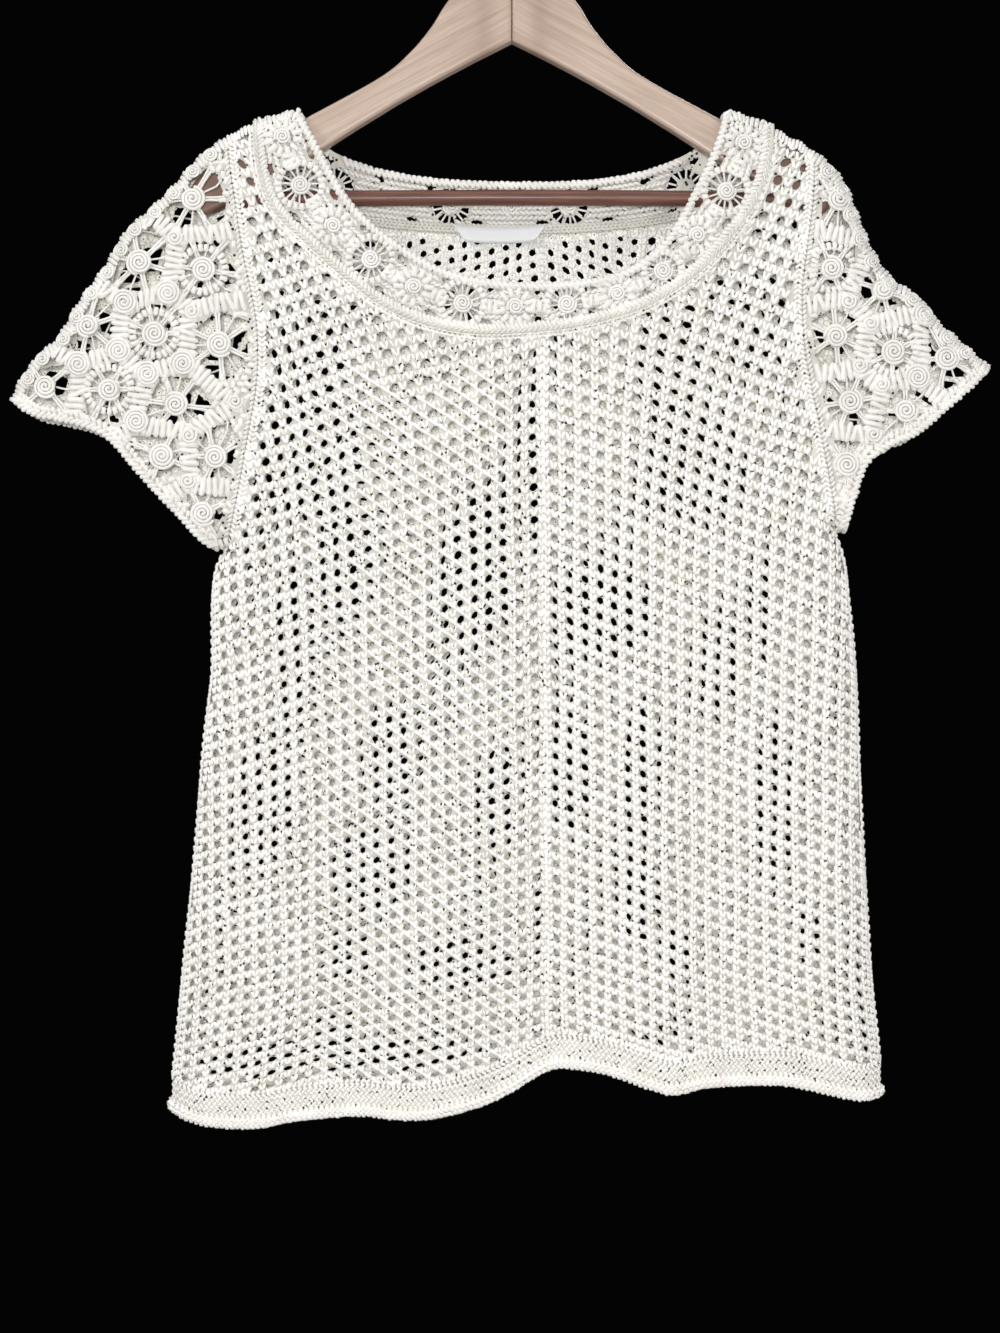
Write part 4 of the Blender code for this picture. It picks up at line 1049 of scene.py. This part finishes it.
def fill_band(yarn, side, inner_line, outer_line, gaps, lift=-0.9):
    """Rows of stitches along the band, except over its gaps.

    A low lift puts them on the inner face, where only the back neck is seen.
    """
    inner_fine = spaced(spaced(inner_line, 0.5), 1.0)
    outer_fine = spaced(outer_line, 0.5)
    outer_fine = outer_fine[np.linspace(0, len(outer_fine) - 1, len(inner_fine)).astype(int)]
    for row, share in enumerate(np.linspace(0.2, 0.9, BAND_ROWS)):
        line = spaced(inner_fine + share * (outer_fine - inner_fine), 3.6)
        ahead, across = ahead_and_left(line)
        half = 2.7 * unit(ahead + (0.5 if row % 2 else -0.5) * across)
        keep = np.abs(line[:, 0]) < (SEAM_HALF if lift < -1.5 else np.inf)
        for gap in gaps:
            for part in (-0.9, 0.0, 0.9):
                keep &= ~inside(line + part * half, [gap])
        laid(yarn, line[keep], half[keep], side, lift, 2.9, 2.0)


def rope_edge(yarn, side, inner_line, outer_line, lift=0.1):
    """A raised slanting edge round the neck and a flatter one by the lower seam.

    Within the back neck, which a lift below zero stands for, only the first of them.
    """
    within = lift < 0
    edges = ((inner_line, -1, 1.1, 3.5, 3.7), (outer_line, 1, -0.6, 2.9, 3.0))
    high, arch = (2.4, 0.0) if within else (3.6, 0.8)
    for line, way, slant, wide, step in edges[:1 if within else 2]:
        line = spaced(line, step)
        ahead, across = ahead_and_left(line)
        inward = way * across
        keep = np.abs(line[:, 0]) < (SEAM_HALF if within else np.inf)
        lay_ribs(yarn, (line + 2.7 * inward)[keep], unit(inward + slant * ahead)[keep], side,
                 7.2, wide, lift, high, arch, 0.04)


def piping(name, side, outer):
    """Two plies twisted round each other, over the seam below the neckband. Within the back neck,
    rows of the seam in the same darker yarn paint the shade below the neckband.
    """
    fine = smooth(outer, 1.0)
    place, normal = surface(fine, side, 0.05)
    middle = place + 2.0 * normal
    middle[0, 1] = middle[-1, 1] = side * GAP / 2
    ahead = unit(np.gradient(middle, axis=0))
    across = unit(np.cross(ahead, normal))
    up = np.cross(across, ahead)
    along = np.concatenate([[0], np.cumsum(np.linalg.norm(np.diff(middle, axis=0), axis=1))])
    cord = Piece(name)
    for ply in (0, 1):
        turn = (2 * pi * along / PLY_TURN + ply * pi)[:, None]
        path = middle + PLY_RADIUS * (np.cos(turn) * across + np.sin(turn) * up)
        tube(cord, path, normal, PLY_RADIUS, 6)
    if side > 0:
        within = fine[np.abs(fine[:, 0]) < SEAM_HALF]
        # painted shade: the seam's rows inside the back neck take the darker cord yarn
        for row, offset in enumerate(SHADE_SEAM_ROWS):
            chain(cord, within, side, offset, 3.0, 4.4, 2.6, 0.5 if row % 2 else -0.5, -3.0)
    return cord


# ---------------------------------------------------------------- hem
def hem_frame(side, step):
    """Columns of the hem: x, its foot, and the place and level normal at its top."""
    left, right = side_to_hem(SIDE_LEFT)[-1], side_to_hem(SIDE_RIGHT)[-1]
    even = np.linspace(left[0] + 6, right[0] - 6, int((right[0] - left[0] - 12) / step))
    close = np.array([0.0, 0.5, 1.5, 3.0])
    x = np.concatenate([left[0] + close, even, (right[0] - close)[::-1]])
    foot = hem_top(x) - HEM_DEPTH
    place, normal = surface(np.stack([x, foot + HEM_DEPTH], axis=1), side)
    normal[:, 2] = 0
    return x, foot, place, unit(normal)


def hem_point(columns, out, up):
    _, foot, place, normal = columns
    ring = place + np.reshape(out, (-1, 1)) * normal
    ring[:, 2] = foot + up
    return ring


def hem(name, side):
    """The plain strip and the curl below it as a thin core, and the stitches on both."""
    columns = hem_frame(side, 5.0)
    curl = [(MIDDLE + HEM_CURL * cos(a), HEM_ROLL + HEM_CURL * sin(a))
            for a in np.radians(np.linspace(90, -230, 12))]
    line = np.array([(MIDDLE, HEM_DEPTH - 2 * GAP), (MIDDLE, 12.0)] + curl)
    off = CORE_THICK / 2 * ahead_and_left(line)[1]
    outer, inner = (np.stack([hem_point(columns, out, up) for out, up in edge], axis=1)
                    for edge in (line + off, line - off))
    tris = grid_tris(*outer.shape[:2])
    strip = slab(name + "_strip", outer.reshape(-1, 3), inner.reshape(-1, 3),
                 tris[:, ::-1] if side > 0 else tris)
    yarn = Piece(name + "_stitches")
    fine = hem_frame(side, HEM_STITCH)
    normal = fine[3]
    rise = np.array([0, 0, 1])
    tangent = np.cross(rise, normal)
    for row, up in enumerate(HEM_ROWS):
        way = 1 if row % 2 else -1
        middle = hem_point(fine, -0.8, up) + 0.25 * way * HEM_STITCH * tangent
        slope = 1.1 * way * tangent + 1.5 * rise
        strands(yarn, (middle + slope)[2:-2], (middle - slope)[2:-2], normal[2:-2], 2.1, 2.2)
    for row, turn in enumerate(np.radians(ROLL_ROWS)):
        way = 1 if row % 2 else -1
        out = normal * cos(turn) + rise * sin(turn)
        down = -normal * sin(turn) + rise * cos(turn)
        swell = RNG.uniform(-0.35, 0.35, (len(normal), 1))
        centre = hem_point(fine, MIDDLE, HEM_ROLL) + (ROLL_OUT + swell) * out
        centre = centre + 0.25 * way * HEM_STITCH * tangent
        slope = RNG.uniform(0.85, 1.15, swell.shape) * (1.2 * down + 1.5 * way * tangent)
        strands(yarn, (centre + slope)[1:-2], (centre - slope)[1:-2], out[1:-2], 2.7, 3.6)
    return strip, yarn


# ---------------------------------------------------------------- hanger and label
def smooth_arm(name, mirror, look, node):
    """One half of the hanger, with the bends of its outline eased."""
    line = np.vstack([smooth(ARM_OUTLINE[:9], 5)[:-1], smooth(ARM_OUTLINE[8:13], 3)[:-1],
                      spaced(np.array(ARM_OUTLINE[12:], float), 30)])
    curve = bpy.data.curves.new(name, "CURVE")
    curve.dimensions = "2D"
    curve.fill_mode = "BOTH"
    curve.extrude = (ARM_HALF - ARM_ROUND) * MM
    curve.bevel_depth = ARM_ROUND * MM
    curve.bevel_resolution = 3
    curve.offset = -ARM_ROUND * MM
    spline = curve.splines.new("POLY")
    spline.use_cyclic_u = True
    spline.points.add(len(line) - 1)
    for at, (x, z) in zip(spline.points, line):
        x = mirror * x - (mirror * GAP / 2 if x == 0 else 0)
        at.co = (x * MM, z * MM, 0, 1)
    obj = bpy.data.objects.new(name, curve)
    obj.rotation_euler = (pi / 2, 0, 0)
    bpy.context.scene.collection.objects.link(obj)
    bpy.context.view_layer.update()
    evaluated = obj.evaluated_get(bpy.context.evaluated_depsgraph_get())
    mesh = bpy.data.meshes.new_from_object(evaluated)
    mesh.transform(obj.matrix_world)
    bpy.data.objects.remove(obj)
    mesh.shade_smooth()
    mesh.set_sharp_from_angle(angle=radians(40))
    return settle(name, mesh, look, [node])


def dowel(look):
    """The bar of the hanger, bowed up a little in its middle."""
    low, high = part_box("hanger_bar")
    radius = (high[2] - low[2]) / 2 / MM
    x = np.linspace(low[0], high[0], 42) / MM
    z = (high[2] + low[2]) / 2 / MM + BAR_BOW * (1 - (x / x[-1]) ** 2)
    piece = Piece("wood_bar")
    tube(piece, np.stack([x, 0 * x, z], axis=1), np.tile([0.0, -1.0, 0.0], (len(x), 1)), radius, 24)
    return piece.make("dark_wood", look, ["hanger_bar"])


def label(look):
    """A bare satin ribbon, sewn down at its upper corners, with its ends curling forward."""
    wide, high, thick = LABEL_SIZE
    columns, rows = 33, 5
    xs, zs = (v.ravel() for v in np.meshgrid(np.linspace(-wide / 2, wide / 2, columns),
                                             np.linspace(-high / 2, high / 2, rows),
                                             indexing="ij"))
    share = np.abs(xs) / wide * 2
    drop = 0.5 - zs / high
    xs = xs * (1 - 0.26 * drop * share ** 2)
    zs = zs + 1.3 * share ** 3 * (1 - drop) + 1.4 * share ** 3 * drop - 0.5 * (1 - share)
    place, _ = surface(np.array(LABEL_PLACE) + np.stack([xs, zs], axis=1), 1)
    curl = 2.6 * np.clip((xs - wide * 0.26) / (wide * 0.22), 0, 1) ** 2
    curl += 1.6 * np.clip((-xs - wide * 0.30) / (wide * 0.2), 0, 1) ** 2
    place[:, 1] -= LABEL_OUT + curl + 0.35 * np.sin(xs * 0.3) * drop
    half = np.array([0, thick / 2, 0])
    piece = slab("neck_label_ribbon", place + half, place - half, grid_tris(columns, rows))
    return piece.make("label_satin", look, ["neck_label"])


# ---------------------------------------------------------------- materials
class Look:
    """A procedural material, to which nodes are added one after another."""

    def __init__(self, name):
        self.material = bpy.data.materials.new(name)
        self.material.use_nodes = True
        self.tree = self.material.node_tree
        self.where = self.node("TexCoord", "Object")

    def node(self, kind, output, inputs=None, **settings):
        """An output of a new node, once its settings and its inputs are set."""
        made = self.tree.nodes.new("ShaderNode" + kind)
        for key, value in settings.items():
            setattr(made, key, value)
        self.feed(made, inputs or {})
        return made.outputs[output]

    def feed(self, made, inputs):
        """Set each input to a value, or link it to the socket that is given."""
        for key, value in inputs.items():
            if isinstance(value, bpy.types.NodeSocket):
                self.tree.links.new(value, made.inputs[key])
            else:
                made.inputs[key].default_value = value

    def noise(self, scale, detail=2.0, roughness=0.5, vector=None):
        return self.node("TexNoise", "Fac", {"Vector": vector or self.where, "Scale": scale,
                                             "Detail": detail, "Roughness": roughness})

    def ramp(self, share, stops):
        """A colour ramp with the places and colours of two or more stops."""
        colour = self.node("ValToRGB", "Color", {"Fac": share})
        elements = colour.node.color_ramp.elements
        for element, (place, tone) in zip(elements, stops):
            element.position = place
            element.color = (*tone, 1)
        for place, tone in stops[2:]:
            elements.new(place).color = (*tone, 1)
        return colour

    def mix(self, share, a, b):
        return self.node("Mix", "Result", {"Factor": share, "A": a, "B": b}, data_type="RGBA")

    def bump(self, height, strength, depth):
        return self.node("Bump", "Normal", {"Height": height, "Strength": strength,
                                            "Distance": depth})

    def done(self, inputs):
        self.feed(self.tree.nodes["Principled BSDF"], inputs)
        return self.material


def cotton(name, light, shade, pinhole_shade=0.0, crevice_shade=0.0):
    """Matte cotton yarn: uneven tone, soft nap and fine fibres.

    Given a pinhole size it has painted pinholes, nearly black spots of painted shade, and given a
    crevice size it has painted shade in the crevices between small stitches.
    """
    look = Look(name)
    colour = look.ramp(look.noise(60.0, 4.0), [(0.3, shade), (0.7, light)])
    # painted shade: nearly black pinholes, and grey crevices between small stitches
    for size, feature, low, high, dark in (
            (pinhole_shade, "F1", pinhole_shade, pinhole_shade + 0.03, (0.03, 0.028, 0.024, 1)),
            (crevice_shade, "DISTANCE_TO_EDGE", 0.0, crevice_shade, (0.42, 0.40, 0.36, 1))):
        if size:
            spots = look.node("TexVoronoi", "Distance", {"Vector": look.where, "Scale": 280.0},
                              feature=feature)
            share = look.node("MapRange", "Result", {"Value": spots, "From Min": low,
                                                     "From Max": high})
            colour = look.mix(share, dark, colour)
    fibres = look.bump(look.noise(1400.0, 3.0), 0.35, 0.0004)
    return look.done({"Base Color": colour, "Normal": fibres, "Roughness": 0.88,
                      "Sheen Weight": 0.25, "Sheen Roughness": 0.5,
                      "Specular IOR Level": 0.25})


# Painted shade on the hanger's arms: darker bands beside the middle joint, where its relief would be
# shaded, and darker ends inside the cloth. Columns: metres from the middle, strength.
ARM_PAINTED_SHADE = [(0.0, 0.07), (0.009, 0.09), (0.018, 0.46), (0.026, 0.23), (0.05, 0.0), (0.134, 0.0),
         (0.146, 1.2)]


def wood(name, light, dark, grain_along, roughness, coat, painted_shade_share=0.0):
    """Varnished wood with long fine grain, and a share of the painted shade, darker by distance from
    the middle.
    """
    look = Look(name)
    along = look.node("Mapping", "Vector", {"Vector": look.where,
                                            "Rotation": (0, grain_along, 0),
                                            "Scale": (0.14, 0.0055, 0.0055)},
                      vector_type="TEXTURE")
    grain = look.noise(3.0, 6.0, 0.6, along)
    x = look.node("SeparateXYZ", "X", {"Vector": look.where})
    away = look.node("Math", "Value", {0: x}, operation="ABSOLUTE")
    # painted shade: a dark brown mixed in by distance from the middle, at the joint's relief and
    # inside the cloth
    painted_shade = look.ramp(away, [(place, (value * painted_shade_share,) * 3) for place, value in ARM_PAINTED_SHADE])
    tone = look.mix(painted_shade, look.ramp(grain, [(0.32, dark), (0.62, light)]),
                    (0.19, 0.095, 0.068, 1))
    return look.done({"Base Color": tone, "Normal": look.bump(grain, 0.12, 0.0003),
                      "Roughness": roughness, "Coat Weight": coat, "Coat Roughness": 0.15})


def satin(name):
    look = Look(name)
    weave = look.node("TexWave", "Fac", {"Vector": look.where, "Scale": 900.0,
                                         "Distortion": 0.6})
    return look.done({"Base Color": (0.68, 0.68, 0.69, 1), "Roughness": 0.38,
                      "Sheen Weight": 0.3, "Normal": look.bump(weave, 0.15, 0.0002)})


def steel(name):
    look = Look(name)
    drawn = look.node("MapRange", "Result", {"Value": look.noise(500.0), "To Min": 0.18,
                                             "To Max": 0.34})
    return look.done({"Base Color": (0.76, 0.76, 0.77, 1), "Metallic": 1.0, "Roughness": drawn})


# ---------------------------------------------------------------- camera, light, floor
EYE_AT = (-0.0079, -0.535)   # x and z of the camera, in metres
EYE_AWAY = 1.5         # from there to the middle of the top
FRONT = 0.015          # from the middle to the front of the cloth
VIEW_TALL = 0.880      # height of the picture at the front of the cloth
# Lights. Columns: name, place and size in metres, power in watts.
LIGHTS = [("front", (-0.05, -1.9, -0.46), 0.26, 27), ("key", (-1.7, -1.0, 0.7), 0.7, 22),
          ("fill", (1.6, -1.3, -0.3), 1.2, 10), ("top", (0.1, -0.5, 1.3), 1.0, 10),
          ("back", (0.9, 1.9, 0.6), 1.4, 45)]
LIT = (0, 0, -0.5)     # where they all point
FLOOR_SIZE = 3.2
FLOOR_AT = (0, 0, -1.75)


def camera():
    """Level and square on to the front."""
    data = bpy.data.cameras.new("camera")
    obj = bpy.data.objects.new("camera", data)
    bpy.context.scene.collection.objects.link(obj)
    obj.location = (EYE_AT[0], -EYE_AWAY, EYE_AT[1])
    obj.rotation_euler = (pi / 2, 0, 0)
    data.sensor_fit = "VERTICAL"
    data.sensor_width = data.sensor_height = 36.0
    data.lens = 36.0 * (EYE_AWAY - FRONT) / VIEW_TALL
    data.clip_start, data.clip_end = 0.05, 50
    bpy.context.scene.camera = obj


def area_light(name, place, size, power):
    data = bpy.data.lights.new(name, "AREA")
    data.shape = "SQUARE"
    data.size = size
    data.energy = power
    obj = bpy.data.objects.new(name, data)
    obj.location = place
    obj.rotation_euler = (Vector(LIT) - Vector(place)).to_track_quat("-Z", "Y").to_euler()
    bpy.context.scene.collection.objects.link(obj)


def stage():
    """A plain pale floor, a dark surround and soft studio light."""
    bpy.ops.mesh.primitive_plane_add(size=FLOOR_SIZE, location=FLOOR_AT)
    floor = bpy.context.object
    floor.name = "floor"
    paint = Look("floor_paint")
    floor.data.materials.append(paint.done({"Base Color": (0.80, 0.79, 0.77, 1),
                                            "Roughness": 0.8}))
    world = bpy.data.worlds.new("studio")
    bpy.context.scene.world = world
    world.use_nodes = True
    background = world.node_tree.nodes["Background"]
    background.inputs["Color"].default_value = (0.0012, 0.0012, 0.0014, 1)
    background.inputs["Strength"].default_value = 1.0
    for light in LIGHTS:
        area_light(*light)
    bpy.context.scene.view_settings.view_transform = "Standard"


# ---------------------------------------------------------------- all of it
camera()
NET_YARN = cotton("net_yarn", (0.95, 0.93, 0.90), (0.88, 0.855, 0.815))
LACE_YARN = cotton("lace_yarn", (0.84, 0.82, 0.785), (0.74, 0.715, 0.675))
HEM_YARN = cotton("hem_yarn", (0.93, 0.905, 0.87), (0.84, 0.81, 0.77))
# Painted shade: the core is darker than the yarn so that it reads as the shade between strands, and
# its pits are painted pinholes.
SHADED_CORE_YARN = cotton("core_yarn_painted_shade", (0.66, 0.635, 0.58), (0.55, 0.525, 0.47), pinhole_shade=0.26)
# The inner core keeps the yarn's own tone; its pits and lumps are painted shade: pinholes and
# crevices.
INNER_YARN = cotton("inner_yarn", (0.96, 0.935, 0.87), (0.92, 0.885, 0.81), pinhole_shade=0.14, crevice_shade=0.09)
CORD_YARN = cotton("cord_yarn", (0.74, 0.72, 0.665), (0.63, 0.61, 0.55))
# The pale arms take 0.8 of the painted shade.
PALE_WOOD, PALE_WOOD_RIGHT = (
    wood(name, (0.53, 0.41, 0.335), (0.40, 0.295, 0.23), along, 0.42, 0.2, 0.8)
    for name, along in (("pale_wood", -0.5), ("pale_wood_right", 0.5)))
DARK_WOOD = wood("dark_wood", (0.16, 0.058, 0.036), (0.07, 0.024, 0.015), 0.0, 0.5, 0.06)
# The front's cores carry the painted shade of the darker core; the back's keep the yarn's own tone.
CORES = {-1: SHADED_CORE_YARN, 1: INNER_YARN}

# Body. Columns: name, side, neck, flat size and area of the sheet in metres.
for name, side, neck, flat, area in (("front", -1, NECK_FRONT_OUTER, (0.50, 0.66), 0.205),
                                     ("back", 1, NECK_BACK_OUTER, (0.50, 0.66), 0.220)):
    sheet, yarns = net_panel(name, side, neck)
    made = sheet.make("net_cotton", CORES[side], [name + "_panel"])
    yarns = [yarn.make("net_cotton", NET_YARN) for yarn in yarns]

SLEEVES = [("left", SHOULDER_LEFT, CUFF_LEFT, ARMHOLE_LEFT, MOTIFS_LEFT, (0.17, 0.31), 0.0185),
           ("right", SHOULDER_RIGHT, CUFF_RIGHT, ARMHOLE_RIGHT, MOTIFS_RIGHT, (0.14, 0.27),
            0.0122)]
for word, shoulder, cuff, armhole, motifs, flat, area in SLEEVES:
    for face, side in (("front", -1), ("back", 1)):
        node = f"sleeve_{word}_{face}"
        sheet, yarn = sleeve(node, side, shoulder, cuff, armhole, motifs)
        made = sheet.make("lace_cotton", CORES[side], [node])
        yarns = [yarn.make("lace_cotton", LACE_YARN)]

BANDS = [("front", -1, NECK_FRONT_INNER, NECK_FRONT_OUTER, NECK_FRONT_MOTIFS, (0.50, 0.040), 0.0146),
         ("back", 1, NECK_BACK_INNER, NECK_BACK_OUTER, NECK_BACK_MOTIFS, (0.42, 0.040), 0.0128)]
for face, side, inner, outer, motifs, flat, area in BANDS:
    node, cord_node = "neckband_" + face, "neck_cord_" + face
    sheet, yarn = neckband(node, side, inner, outer, motifs)
    # The neckband's cores take the darker core: painted shade between strands.
    made = sheet.make("lace_cotton", SHADED_CORE_YARN, [node])
    yarns = [yarn.make("lace_cotton", LACE_YARN),
             piping(cord_node + "_plies", side, outer).make("piping_cotton", CORD_YARN, [cord_node])]

for node, side in (("hem_front", -1), ("hem_back", 1)):
    strip, yarn = hem(node, side)
    # The hem's strip takes the darker core: painted shade in the crevices of its stitches.
    made = strip.make("hem_cotton", SHADED_CORE_YARN, [node])
    yarns = [yarn.make("hem_cotton", HEM_YARN)]

ribbon = label(satin("label_satin"))
smooth_arm("wood_arm_left", 1, PALE_WOOD, "hanger_arm_left")
smooth_arm("wood_arm_right", -1, PALE_WOOD_RIGHT, "hanger_arm_right")
dowel(DARK_WOOD)
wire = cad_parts["hanger_hook"].data
wire.materials.clear()
wire.materials.append(steel("hook_steel"))

stage()
bpy.context.view_layer.update()
